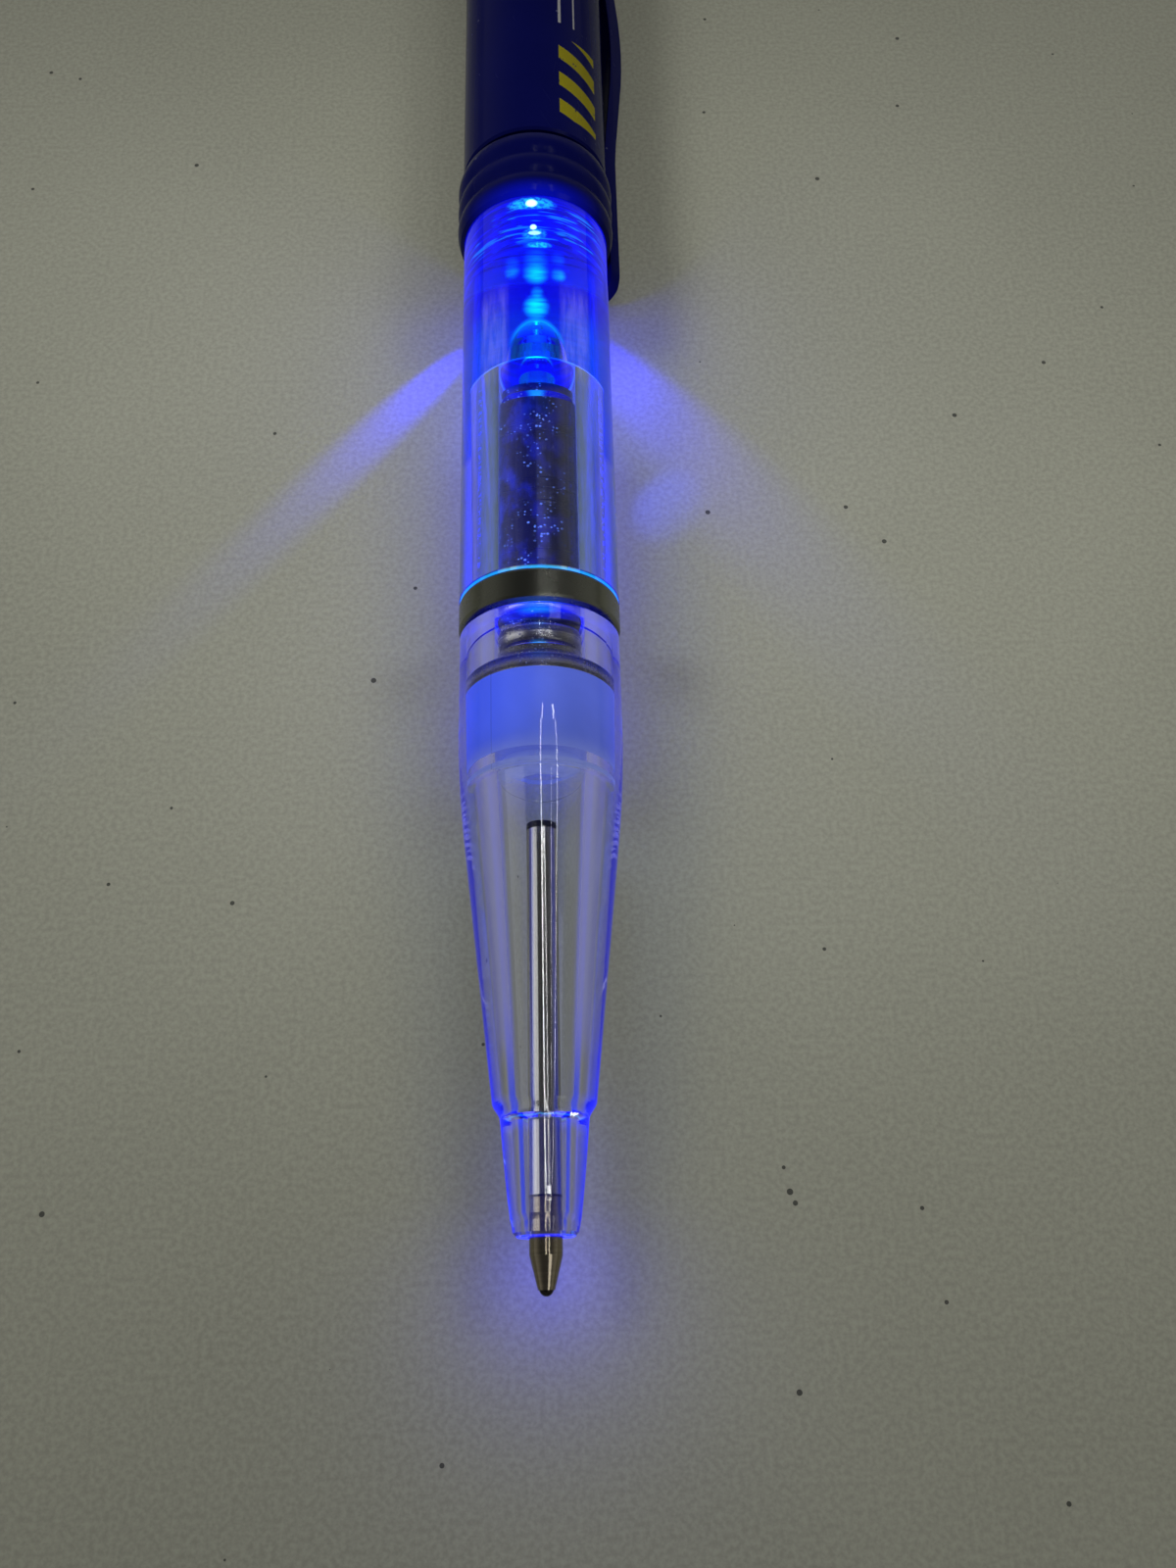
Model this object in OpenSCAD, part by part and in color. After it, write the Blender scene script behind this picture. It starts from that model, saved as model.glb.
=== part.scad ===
// Light-up twist ballpoint pen, lying on its side with the clip touching the table.
// Every piece is drawn along its own Z axis, where Z counts millimetres from the nozzle's mouth
// towards the rear end, and lay() turns the finished piece so that the pen runs along Y, tip at -Y.

/* [Grip] */
// Diameter of the clear grip behind its taper
grip_d = 13.0; // [12.8:0.1:13.2]
// Length of the grip from the nozzle's mouth to its rear face
grip_len = 46.5; // [46:0.1:48]
// Half angle of the grip's taper
grip_taper = 6.35; // [6.2:0.05:6.5]
// Radius of the curve that blends the taper into the straight part
grip_blend = 90; // [80:1:95]
// Where the straight part begins
grip_blend_at = 38.8; // [38:0.1:40]
// Outer diameter at the nozzle's mouth
nozzle_tip_d = 4.6; // [4.4:0.1:4.8]
// Outer diameter at the nozzle's root, under the shoulder
nozzle_root_d = 6.36; // [6:0.02:6.6]
// Length of the nozzle
nozzle_len = 7.9; // [7.5:0.1:8.2]
// Length of the shoulder between nozzle and taper
shoulder_len = 1.3; // [1.1:0.1:1.8]
// Diameter of the grip's rear bore
grip_bore_d = 7.4; // [7.3:0.1:7.6]

/* [Refill] */
// Diameter of the refill's metal tube
refill_d = 2.38; // [2.3:0.02:2.4]
// How far the ball stands out of the nozzle when the pen is ready to write
tip_out = 3.8; // [3.4:0.1:4]
// Diameter of the writing ball
ball_d = 1.0; // [0.8:0.1:1]
// Distance from the nozzle's mouth to the rear end of the metal tube
refill_tube_end = 30.1; // [29:0.1:31]
// Travel of the refill when the grip is turned
refill_travel = 5.0; // [4.6:0.1:5.2]
// Turn of the grip that draws the refill in
twist_angle = 180; // [170:5:190]

/* [Clear middle section] */
// Diameter of the clear middle section and the trim ring
guide_d = 13.2; // [13:0.1:13.4]
// Visible length of the clear middle section
guide_len = 38.0; // [37:0.1:40]
// Diameter of its main bore
guide_bore_d = 6.84; // [6.8:0.02:6.9]
// Depth of its main bore behind the trim ring
guide_bore_depth = 21.8; // [21.5:0.1:22.5]
// Diameter of the rounded recess at the end of the main bore
recess_d = 3.2; // [3:0.1:3.8]
// Depth of the rounded recess
recess_depth = 5.4; // [5:0.1:6]
// Diameter of the socket for the lamp holder
socket_d = 8.1; // [8:0.1:8.3]
// How far the socket reaches past the collar's front edge
socket_depth = 4.6; // [4:0.1:5]
// Length of the chrome trim ring
ring_len = 2.7; // [2.5:0.1:3]

/* [Collar and barrel] */
// Diameter over the collar's ribs
collar_d = 14.4; // [14.2:0.1:14.6]
// Length of the collar
collar_len = 7.4; // [7:0.1:8]
// Number of ribs on the collar
ribs = 3; // [2:1:4]
// Depth of the grooves between the ribs
rib_depth = 0.25; // [0.15:0.05:0.35]
// Width of the seam between collar and barrel
seam = 0.5; // [0.3:0.1:0.6]
// Outer diameter of the barrel
barrel_d = 13.5; // [13.4:0.1:13.6]
// Length of the barrel
barrel_len = 36.7; // [36.5:0.1:37]
// Wall thickness of the barrel
barrel_wall = 1.05; // [1:0.05:1.1]
// Length of the end cap behind the clip's band
cap_len = 4.0; // [3.5:0.1:5]
// Length of the button that stands out of the end cap
button_out = 5.2; // [4.5:0.1:6]
// Diameter of the button
button_d = 8.0; // [7.8:0.1:8]
// Travel of the button
button_travel = 1.2; // [1:0.1:1.2]

/* [Clip] */
// Width of the clip
clip_w = 4.0; // [3.6:0.1:4.4]
// Outer radius of the clip at the top of its bow, from the pen's axis
clip_bow_r = 9.8; // [9.4:0.1:10.2]
// Outer radius of the clip at its foot and near its tip
clip_base_r = 8.45; // [8.4:0.05:8.6]
// Thickness of the clip
clip_t = 1.3; // [1.2:0.1:1.4]
// Length of the clip's band
band_len = 3.0; // [2.6:0.1:3.2]

/* [Hidden] */
$fn = 96;
fit = 0.02;
run = 0.07;
gap = 0.2;
edge = 0.3;

grip_r = grip_d / 2;
guide_r = guide_d / 2;
collar_r = collar_d / 2;
barrel_r = barrel_d / 2;
barrel_bore_r = barrel_r - barrel_wall;
refill_r = refill_d / 2;
tube_bore_r = refill_r - 0.24;

// Stations along the pen
ring_at = grip_len + gap;
guide_at = ring_at + ring_len;
bore_end = guide_at + guide_bore_depth;
collar_at = guide_at + guide_len;
collar_wall_at = collar_at + 5;
collar_end = collar_at + collar_len;
barrel_at = collar_end + seam;
band_at = barrel_at + barrel_len;
cap_at = band_at + band_len;
cap_end = cap_at + cap_len;
button_end = cap_end + button_out;
tip_end = -tip_out;

// Place of the lying pen: the axis is as high as the collar's radius, and the clip touches the table
mid_at = (button_end + tip_end) / 2;
clip_half_angle = asin(clip_w / 2 / clip_bow_r);
clip_turn = asin(collar_r / clip_bow_r) - clip_half_angle;
clip_reach = clip_bow_r * cos(clip_turn - clip_half_angle);
axis_x = -(clip_reach - collar_r) / 2;

// Twist mechanism
nose_at = grip_len - 4.85;
nose_flange_r = grip_bore_d / 2 - fit;
nose_bead_r = 3.4;
nose_groove_r = 2.95;
nose_bead_end = grip_len - 0.6;
spigot_r = 2.05;
spigot_bore_r = 1.57;
spigot_end = nose_at + 21.75;
housing_at = grip_len + 0.1;
housing_r = guide_bore_d / 2 - 0.07;
housing_bore_r = 2.75;
housing_lip = 1.0;
housing_end = housing_at + 20.7;
housing_cap_r = 3.15;
cam_at = housing_at + housing_lip;
cam_end = cam_at + 14.4;
cam_bore_r = spigot_r + run;
pin_r = 0.5;
pin_at = nose_at + 11.35;
pin_reach = 2.6;
slot_margin = 0.9;
slot_half_angle = 28;
snap_ring_at = cam_end + gap;
snap_ring_t = 0.56;
snap_ring_r = 2.6;
snap_groove_r = 1.85;
sleeve_len = 8.1;
sleeve_at = nose_at - sleeve_len;
sleeve_stop = 0.25;
carrier_r = spigot_bore_r - run;
carrier_end = pin_at + 6.8;
carrier_step_at = nose_at - 2;

// Lamp, cells and switch
holder_at = collar_at + 1.1;
holder_end = barrel_at + 5.4;
holder_r = barrel_bore_r - fit;
holder_neck_r = 4.95;
lamp_r = 2.5;
lamp_flange_r = 2.9;
lamp_tip = collar_at - 0.6;
lamp_flange_at = lamp_tip + 7.6;
lamp_end = lamp_flange_at + 1.0;
cup_r = 0.9;
cup_at = lamp_tip + 3.2;
cup_len = 1.3;
chip_w = 0.4;
chip_t = 0.2;
lead_w = 0.5;
lead_x = 1.27;
holder_recess_r = 3.4;
holder_recess_at = lamp_end + 1.0;
cell_r = 3.95;
cell_len = 3.6;
cell_cap_r = 3.2;
cell_cap_len = 0.6;
disc_t = 0.3;
front_spring_len = 4.0;
cells_at = holder_end + disc_t + front_spring_len;
cells_end = cells_at + 3 * cell_len;
battery_bore_r = cell_r + 0.1;
battery_lip_r = 3.2;
battery_lip_t = 1.1;
battery_sleeve_end = cells_end + 4.2;
strip_w = 2.0;
strip_t = 0.35;
strip_groove = 0.55;
strip_r = barrel_bore_r - fit - strip_groove;
switch_ring_t = 0.4;
switch_ring_r = barrel_bore_r - 0.2;
switch_hole_r = 3.0;
button_r = button_d / 2;
button_stem_r = 2.2;
button_flange_r = 4.6;
button_flange_at = battery_sleeve_end + 5.0;
button_flange_t = 1.6;
contact_tip_r = 1.8;
contact_tip_t = 0.5;
contact_tip_at = cells_end + button_travel + 0.1;
shank_r = 0.8;
shank_len = 2.4;
wire_r = 0.25;

// Lays a piece drawn along Z down along Y
module lay() {
    translate([axis_x, -mid_at, collar_r])
        rotate([-90, 0, 0])
            children();
}

module tube(from, to, outer, inner) {
    rotate_extrude()
        translate([inner, from])
            square([outer - inner, to - from]);
}

module rod(from, to, r) {
    translate([0, 0, from])
        cylinder(h = to - from, r = r);
}

// Points of a smooth step from radius r1 at z1 to radius r2 at z2, without its first point
function s_curve(r1, z1, r2, z2, steps) = [
    for (i = [1 : steps])
        let (t = i / steps)
            [r1 + (r2 - r1) * (1 - cos(180 * t)) / 2, z1 + (z2 - z1) * t]
];

// Grip outline: nozzle, shoulder, straight taper and the blend into the straight part
taper_end_r = grip_r - grip_blend * (1 - cos(grip_taper));
taper_end_at = grip_blend_at - grip_blend * sin(grip_taper);
shoulder_end = nozzle_len + shoulder_len;
shoulder_r = taper_end_r - tan(grip_taper) * (taper_end_at - shoulder_end);
nozzle_curve = [
    for (t = [0 : 1 / 8 : 1])
        [nozzle_tip_d / 2 + (nozzle_root_d - nozzle_tip_d) / 2 * pow(t, 0.75), edge + (nozzle_len - edge) * t]
];
blend_curve = [
    for (i = [8 : -1 : 0])
        let (turn = grip_taper * i / 8)
            [grip_r - grip_blend * (1 - cos(turn)), grip_blend_at - grip_blend * sin(turn)]
];
mouth_r = refill_r + 0.08;
grip_bore = [
    [grip_bore_d / 2, grip_len],
    [grip_bore_d / 2, sleeve_at - fit],
    [grip_bore_d / 2 - sleeve_stop, sleeve_at - fit],
    [2.05, nozzle_len + 0.4],
    [1.6, nozzle_len],
    [1.42, 1.6],
    [mouth_r, 1.2],
    [mouth_r, 0]
];

module grip_shell() {
    color([0.86, 0.9, 0.98, 0.4])
        lay()
            rotate_extrude()
                polygon(concat(
                    [[nozzle_tip_d / 2 - edge, 0]],
                    nozzle_curve,
                    s_curve(nozzle_root_d / 2, nozzle_len, shoulder_r, shoulder_end, 8),
                    blend_curve,
                    [[grip_r, grip_len - edge], [grip_r - edge, grip_len]],
                    grip_bore
                ));
}

// Bush that guides the refill carrier, with a groove near its front end
module drive_sleeve() {
    groove_at = sleeve_at + 0.65;
    groove_end = groove_at + 0.85;
    color([0.9, 0.92, 0.97])
        lay()
            rotate_extrude()
                polygon([
                    [carrier_r + 0.15, sleeve_at],
                    [nose_flange_r - 0.2, sleeve_at],
                    [nose_flange_r, sleeve_at + 0.2],
                    [nose_flange_r, groove_at],
                    [nose_flange_r - 0.6, groove_at],
                    [nose_flange_r - 0.6, groove_end],
                    [nose_flange_r, groove_end],
                    [nose_flange_r, nose_at],
                    [carrier_r + 0.15, nose_at]
                ]);
}

// Turning half of the mechanism: flange pressed into the grip, bead, and slotted spigot
bead_at = nose_at + 2.55;
bead_mid = (bead_at + nose_bead_end) / 2;
bead_half = (nose_bead_end - bead_at) / 2;
bead_curve = [
    for (turn = [-90 : 22.5 : 90])
        [nose_bead_r - 0.35 * (1 - cos(turn)), bead_mid + bead_half * sin(turn)]
];

module twist_nose() {
    slot_w = 2 * pin_r + 0.16;
    slot_at = pin_at - pin_r - 0.3;
    slot_len = refill_travel + 2 * (pin_r + 0.3);
    color([0.4, 0.41, 0.44])
        lay()
            difference() {
                rotate_extrude()
                    polygon(concat(
                        [
                            [spigot_bore_r, nose_at],
                            [nose_flange_r, nose_at],
                            [nose_flange_r, nose_at + 1.15],
                            [nose_bead_r, nose_at + 1.75],
                            [nose_bead_r, nose_at + 2.15],
                            [nose_groove_r, nose_at + 2.15],
                            [nose_groove_r, bead_at]
                        ],
                        bead_curve,
                        [
                            [spigot_r, nose_bead_end],
                            [spigot_r, snap_ring_at],
                            [snap_groove_r, snap_ring_at],
                            [snap_groove_r, snap_ring_at + snap_ring_t + 2 * fit],
                            [spigot_r, snap_ring_at + snap_ring_t + 2 * fit],
                            [spigot_r, spigot_end],
                            [spigot_bore_r, spigot_end]
                        ]
                    ));
                translate([0, -slot_w / 2, slot_at])
                    cube([spigot_r + 1, slot_w, slot_len]);
            }
}

// Open ring that keeps the nose's spigot in the housing
module snap_ring() {
    opening = 1.6;
    color([0.62, 0.62, 0.6])
        lay()
            difference() {
                tube(snap_ring_at + fit, snap_ring_at + fit + snap_ring_t, snap_ring_r, snap_groove_r + fit);
                translate([0, -opening / 2, snap_ring_at])
                    cube([snap_ring_r + 1, opening, snap_ring_t + 1]);
            }
}

// Rod that slides inside the spigot, plugged into the rear end of the refill
module refill_carrier() {
    plug_len = 4.0;
    color([0.85, 0.87, 0.9])
        lay()
            difference() {
                union() {
                    rod(refill_tube_end - plug_len, refill_tube_end + 1, tube_bore_r - fit);
                    rod(refill_tube_end, carrier_step_at + 1, refill_r);
                    rod(carrier_step_at, carrier_end, carrier_r);
                }
                translate([-carrier_r / 2, 0, pin_at])
                    rotate([0, 90, 0])
                        cylinder(h = 2 * carrier_r, r = pin_r + fit);
            }
}

module follower_pin() {
    color([0.62, 0.62, 0.6])
        lay()
            translate([-carrier_r / 2, 0, pin_at])
                rotate([0, 90, 0])
                    cylinder(h = pin_reach + carrier_r / 2, r = pin_r);
}

crimp_at = 2.65;

module refill_tube() {
    color([0.72, 0.71, 0.68])
        lay()
            tube(crimp_at, refill_tube_end, refill_r, tube_bore_r);
}

ball_at = tip_end + ball_d / 2;

// Turned point: plug inside the tube, straight neck, cone and the seat of the ball
module refill_point() {
    plug_end = crimp_at + 3.0;
    neck_r = refill_r - 0.03;
    cone_at = tip_end + 2.65;
    lip_r = ball_d / 2 + 0.09;
    lip_at = ball_at - 0.1;
    ink_r = 0.3;
    color([0.75, 0.7, 0.6])
        lay()
            difference() {
                rotate_extrude()
                    polygon([
                        [ink_r, lip_at],
                        [lip_r, lip_at],
                        [lip_r + 0.06, lip_at + 0.25],
                        [neck_r, cone_at],
                        [neck_r, crimp_at],
                        [tube_bore_r - fit, crimp_at],
                        [tube_bore_r - fit, plug_end],
                        [ink_r, plug_end]
                    ]);
                translate([0, 0, ball_at])
                    sphere(d = ball_d + 2 * fit);
            }
}

module writing_ball() {
    color([0.12, 0.12, 0.14])
        lay()
            translate([0, 0, ball_at])
                sphere(d = ball_d);
}

guide_spigot_r = 4.5;
guide_spigot_at = ring_at + 0.1;

module trim_ring() {
    color([0.85, 0.86, 0.88])
        lay()
            rotate_extrude()
                polygon([
                    [guide_spigot_r + fit, ring_at],
                    [guide_r - edge, ring_at],
                    [guide_r - edge * 0.3, ring_at + edge * 0.3],
                    [guide_r, ring_at + edge],
                    [guide_r, guide_at - edge],
                    [guide_r - edge * 0.3, guide_at - edge * 0.3],
                    [guide_r - edge, guide_at],
                    [guide_spigot_r + fit, guide_at]
                ]);
}

// Clear body between ring and collar: main bore in front, rounded recess, socket at the rear
guide_rear_r = 6.2;
recess_straight = 0.6;
recess_curve = [
    for (turn = [90 : -11.25 : 0])
        [
            recess_d / 2 * cos(turn),
            bore_end + recess_straight + (recess_depth - recess_straight) * sin(turn)
        ]
];

module light_guide() {
    color([0.8, 0.87, 1, 0.4])
        lay()
            rotate_extrude()
                polygon(concat(
                    recess_curve,
                    [
                        [recess_d / 2, bore_end],
                        [guide_bore_d / 2, bore_end],
                        [guide_bore_d / 2, guide_spigot_at],
                        [guide_spigot_r, guide_spigot_at],
                        [guide_spigot_r, guide_at],
                        [guide_r - 0.2, guide_at],
                        [guide_r, guide_at + 0.2],
                        [guide_r, collar_at],
                        [guide_rear_r, collar_at],
                        [guide_rear_r, collar_wall_at],
                        [socket_d / 2, collar_wall_at],
                        [socket_d / 2, collar_at - socket_depth],
                        [0, collar_at - socket_depth]
                    ]
                ));
}

// Fixed half of the mechanism: tube with an inner lip that the nose turns in
module twist_housing() {
    color([0.42, 0.43, 0.46])
        lay()
            rotate_extrude()
                polygon([
                    [cam_bore_r, housing_at],
                    [housing_r, housing_at],
                    [housing_r, housing_end - 0.15],
                    [housing_r - 0.15, housing_end],
                    [housing_bore_r, housing_end],
                    [housing_bore_r, cam_at],
                    [cam_bore_r, cam_at]
                ]);
}

module twist_cap() {
    plug_len = 2.0;
    groove_len = 0.6;
    head_len = 1.0;
    color([0.38, 0.39, 0.42])
        lay()
            rotate_extrude()
                polygon([
                    [0, housing_end - plug_len],
                    [housing_bore_r - fit, housing_end - plug_len],
                    [housing_bore_r - fit, housing_end + groove_len],
                    [housing_cap_r, housing_end + groove_len],
                    [housing_cap_r, housing_end + groove_len + head_len - 0.2],
                    [housing_cap_r - 0.2, housing_end + groove_len + head_len],
                    [0, housing_end + groove_len + head_len]
                ]);
}

// Sleeve fixed in the housing, whose helical slot drives the follower pin
module cam_sleeve() {
    slot_at = pin_at - slot_margin;
    slot_len = refill_travel + 2 * slot_margin;
    turn_per_mm = twist_angle / refill_travel;
    near = cam_bore_r - 0.6;
    far = housing_bore_r + 0.6;
    color([0.55, 0.52, 0.45])
        lay()
            difference() {
                tube(cam_at, cam_end, housing_bore_r - fit, cam_bore_r);
                translate([0, 0, slot_at])
                    rotate([0, 0, -slot_margin * turn_per_mm])
                        linear_extrude(height = slot_len, twist = -slot_len * turn_per_mm, slices = 32, segments = 8)
                            polygon([
                                [near, -near * tan(slot_half_angle)],
                                [far, -far * tan(slot_half_angle)],
                                [far, far * tan(slot_half_angle)],
                                [near, near * tan(slot_half_angle)]
                            ]);
            }
}

// Collar with rounded ribs; its rear wall is clamped between the clear body and the barrel
rib_steps = 8;
ribs_at = collar_at + edge;
ribs_len = collar_len - 2 * edge;
rib_curve = [
    for (i = [0 : ribs * rib_steps])
        [
            collar_r - rib_depth * (1 - abs(sin(180 * i / rib_steps))),
            ribs_at + ribs_len * i / (ribs * rib_steps)
        ]
];

module ribbed_collar() {
    color([0.02, 0.02, 0.22])
        lay()
            rotate_extrude()
                polygon(concat(
                    [
                        [guide_rear_r + fit, collar_at],
                        [collar_r - rib_depth - edge, collar_at]
                    ],
                    rib_curve,
                    [
                        [collar_r - rib_depth - edge, collar_end],
                        [barrel_r - 0.5, collar_end],
                        [barrel_r - 0.5, barrel_at],
                        [holder_neck_r + fit, barrel_at],
                        [holder_neck_r + fit, collar_wall_at],
                        [guide_rear_r + fit, collar_wall_at]
                    ]
                ));
}

module barrel_shell() {
    color([0.02, 0.02, 0.22])
        lay()
            rotate_extrude()
                polygon([
                    [barrel_bore_r, barrel_at],
                    [barrel_r - 0.2, barrel_at],
                    [barrel_r, barrel_at + 0.2],
                    [barrel_r, band_at - 0.2],
                    [barrel_r - 0.2, band_at],
                    [barrel_bore_r, band_at]
                ]);
}

// Clip: a slice of a turned shape, bowed out from the barrel and ending in a rounded tip
clip_tip = collar_at - 1.9;
clip_press = collar_end + 4.2;
clip_bow_len = cap_at - clip_press;
clip_bow = [
    for (t = [0 : 1 / 16 : 1])
        [
            clip_base_r + (clip_bow_r - clip_base_r) * pow(sin(180 * t), 2),
            clip_press + clip_bow_len * t
        ]
];
press_depth = clip_base_r - clip_t - barrel_r - 0.08;
press_half = 2.2;
press_curve = [
    for (t = [-1 : 1 / 4 : 1])
        [
            clip_base_r - clip_t - press_depth * pow(cos(90 * t), 2),
            clip_press + press_half * t
        ]
];
clip_tip_t = 1.0;

module clip_outline() {
    polygon(concat(
        [[clip_base_r + 0.1 - clip_tip_t, clip_tip + 0.3], [clip_base_r - 0.3, clip_tip]],
        [[clip_base_r - 0.05, clip_tip + 0.1], [clip_base_r + 0.1, clip_tip + 0.5], [clip_base_r, clip_tip + 5]],
        clip_bow,
        [[collar_r - 0.6, cap_at], [collar_r - 0.6, band_at], [clip_base_r - clip_t, band_at]],
        [
            for (i = [14 : -1 : 3])
                clip_bow[i] - [clip_t, 0]
        ],
        [
            for (i = [len(press_curve) - 1 : -1 : 0])
                press_curve[i]
        ],
        [[clip_base_r - clip_tip_t, clip_press - press_half - 0.6]]
    ));
}

module clip() {
    half_span = 2 * clip_half_angle;
    color([0.02, 0.02, 0.22])
        lay()
            union() {
                tube(band_at, cap_at, collar_r, barrel_bore_r);
                rotate([0, 0, clip_turn])
                    intersection() {
                        rotate([0, 0, -half_span])
                            rotate_extrude(angle = 2 * half_span)
                                clip_outline();
                        rotate([90, 0, 90])
                            linear_extrude(height = clip_bow_r + 1)
                                union() {
                                    translate([0, clip_tip + clip_w / 2])
                                        circle(d = clip_w);
                                    translate([-clip_w / 2, clip_tip + clip_w / 2])
                                        square([clip_w, cap_at - clip_tip]);
                                }
                    }
            }
}

// End cap: spigot inside barrel and band, domed head with the button's hole
module end_cap() {
    dome_r = 2.2;
    dome_curve = [
        for (turn = [0 : 15 : 90])
            [collar_r - dome_r * (1 - cos(turn)), cap_end - dome_r + dome_r * sin(turn)]
    ];
    spigot_at = button_flange_at + button_flange_t + 0.1;
    color([0.02, 0.02, 0.22])
        lay()
            rotate_extrude()
                polygon(concat(
                    [
                        [button_r + run, spigot_at],
                        [barrel_bore_r - fit, spigot_at],
                        [barrel_bore_r - fit, cap_at],
                        [collar_r, cap_at]
                    ],
                    dome_curve,
                    [[button_r + run, cap_end]]
                ));
}

// Holder screwed into the clear body's socket; its rear end is pressed into the barrel
module lamp_holder() {
    notch_w = strip_w + 0.4;
    notch_at = holder_recess_at + 1.0;
    color([0.9, 0.9, 0.88])
        lay()
            difference() {
                rotate_extrude()
                    polygon([
                        [lamp_r + 0.05, holder_at],
                        [socket_d / 2 - 0.05, holder_at],
                        [socket_d / 2 - 0.05, collar_wall_at],
                        [holder_neck_r, collar_wall_at],
                        [holder_neck_r, barrel_at],
                        [holder_r, barrel_at],
                        [holder_r, holder_end],
                        [holder_recess_r, holder_end],
                        [holder_recess_r, holder_recess_at],
                        [lamp_flange_r + 0.05, holder_recess_at],
                        [lamp_flange_r + 0.05, lamp_flange_at],
                        [lamp_r + 0.05, lamp_flange_at]
                    ]);
                translate([holder_recess_r - 1, -notch_w / 2, notch_at])
                    cube([barrel_r, notch_w, holder_end]);
            }
}

module lead_posts(extra) {
    for (side = [-1, 1])
        translate([side * lead_x - lead_w / 2 - extra, -lead_w / 2 - extra, cup_at + cup_len])
            cube([lead_w + 2 * extra, lead_w + 2 * extra, lamp_end - cup_at - cup_len + extra]);
}

// Lamp bulb: domed body with a pocket round its cup and leads
module lamp_lens() {
    dome = [
        for (turn = [0 : 9 : 90])
            [lamp_r * sin(turn), lamp_tip + lamp_r * (1 - cos(turn))]
    ];
    color([0.75, 0.85, 1, 0.5])
        lay()
            difference() {
                rotate_extrude()
                    polygon(concat(
                        dome,
                        [
                            [lamp_r, lamp_flange_at],
                            [lamp_flange_r, lamp_flange_at],
                            [lamp_flange_r, lamp_end],
                            [0, lamp_end]
                        ]
                    ));
                rod(cup_at, cup_at + cup_len, lead_x + lead_w);
                lead_posts(fit);
            }
}

// Leads: the long one carries the cup and ends at the front contact, the other reaches the side strip
module lamp_leads() {
    arm_at = holder_recess_at + 1.4;
    arm_reach = strip_r + 0.05;
    color([0.8, 0.8, 0.82])
        lay()
            union() {
                difference() {
                    rod(cup_at + 0.1, cup_at + cup_len, cup_r);
                    translate([0, 0, cup_at + 0.1])
                        cylinder(h = cup_len / 2, r1 = cup_r - 0.1, r2 = chip_w);
                }
                translate([-lead_x - lead_w / 2, -lead_w / 2, cup_at + cup_len - 0.3])
                    cube([lead_x + lead_w / 2, lead_w, 0.3]);
                lead_posts(0);
                translate([-lead_x - lead_w / 2, -lead_w / 2, lamp_end])
                    cube([lead_w, lead_w, holder_end - lamp_end]);
                translate([lead_x - lead_w / 2, -lead_w / 2, lamp_end])
                    cube([lead_w, lead_w, arm_at - lamp_end]);
                translate([lead_x - lead_w / 2, -lead_w / 2, arm_at])
                    cube([arm_reach - lead_x + lead_w / 2, lead_w, lead_w]);
            }
}

module lamp_chip() {
    color([0.4, 0.7, 1])
        lay()
            translate([-chip_w / 2, -chip_w / 2, cup_at + 0.1 + cup_len / 2 - chip_t])
                cube([chip_w, chip_w, chip_t]);
}

module front_contact() {
    color([0.78, 0.62, 0.3])
        lay()
            rod(holder_end, holder_end + disc_t, cell_r);
}

// Coil spring as one tube along a helix
coil_rings = 12;
coil_sides = 6;

function coil_point(i, turns, from, length, mean_r) =
    let (turn = 360 * i / coil_rings, t = i / (turns * coil_rings))
        [mean_r * cos(turn), mean_r * sin(turn), from + wire_r + (length - 2 * wire_r) * t];

module coil(turns, from, length, mean_r) {
    last = turns * coil_rings;
    points = [
        for (i = [0 : last])
            let (centre = coil_point(i, turns, from, length, mean_r), turn = 360 * i / coil_rings)
                for (side = [0 : coil_sides - 1])
                    let (out = wire_r * cos(360 * side / coil_sides))
                        centre + [out * cos(turn), out * sin(turn), wire_r * sin(360 * side / coil_sides)]
    ];
    walls = [
        for (i = [0 : last - 1])
            for (side = [0 : coil_sides - 1])
                let (next = (side + 1) % coil_sides, a = i * coil_sides, b = a + coil_sides)
                    for (face = [[a + side, b + side, a + next], [a + next, b + side, b + next]])
                        face
    ];
    near_end = [
        for (side = [1 : coil_sides - 2])
            [0, side, side + 1]
    ];
    far_end = [
        for (side = [1 : coil_sides - 2])
            last * coil_sides * [1, 1, 1] + [0, side + 1, side]
    ];
    rise = (length - 2 * wire_r) / turns;
    echo("least gap between turns", rise - 2 * wire_r);
    polyhedron(points = points, faces = concat(near_end, walls, far_end));
}

module contact_spring() {
    color([0.7, 0.7, 0.72])
        lay()
            coil(3, holder_end + disc_t + fit, front_spring_len - 2 * fit, 2.4);
}

module strip_channel(from, to, width, low, high) {
    translate([low, -width / 2, from])
        cube([high - low, width, to - from]);
}

module battery_sleeve() {
    color([0.2, 0.2, 0.22])
        lay()
            difference() {
                rotate_extrude()
                    polygon([
                        [battery_bore_r, holder_end],
                        [barrel_bore_r - fit, holder_end],
                        [barrel_bore_r - fit, battery_sleeve_end],
                        [battery_bore_r, battery_sleeve_end],
                        [battery_bore_r, cells_end + 0.1 + battery_lip_t],
                        [battery_lip_r, cells_end + 0.1 + battery_lip_t],
                        [battery_lip_r, cells_end + 0.1],
                        [battery_bore_r, cells_end + 0.1]
                    ]);
                strip_channel(holder_end - 1, battery_sleeve_end + 1, strip_w + 0.4, strip_r, barrel_r);
            }
}

module contact_strip() {
    color([0.78, 0.62, 0.3])
        lay()
            strip_channel(holder_recess_at + 1.3, battery_sleeve_end, strip_w, strip_r + 0.1, strip_r + 0.1 + strip_t);
}

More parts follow.
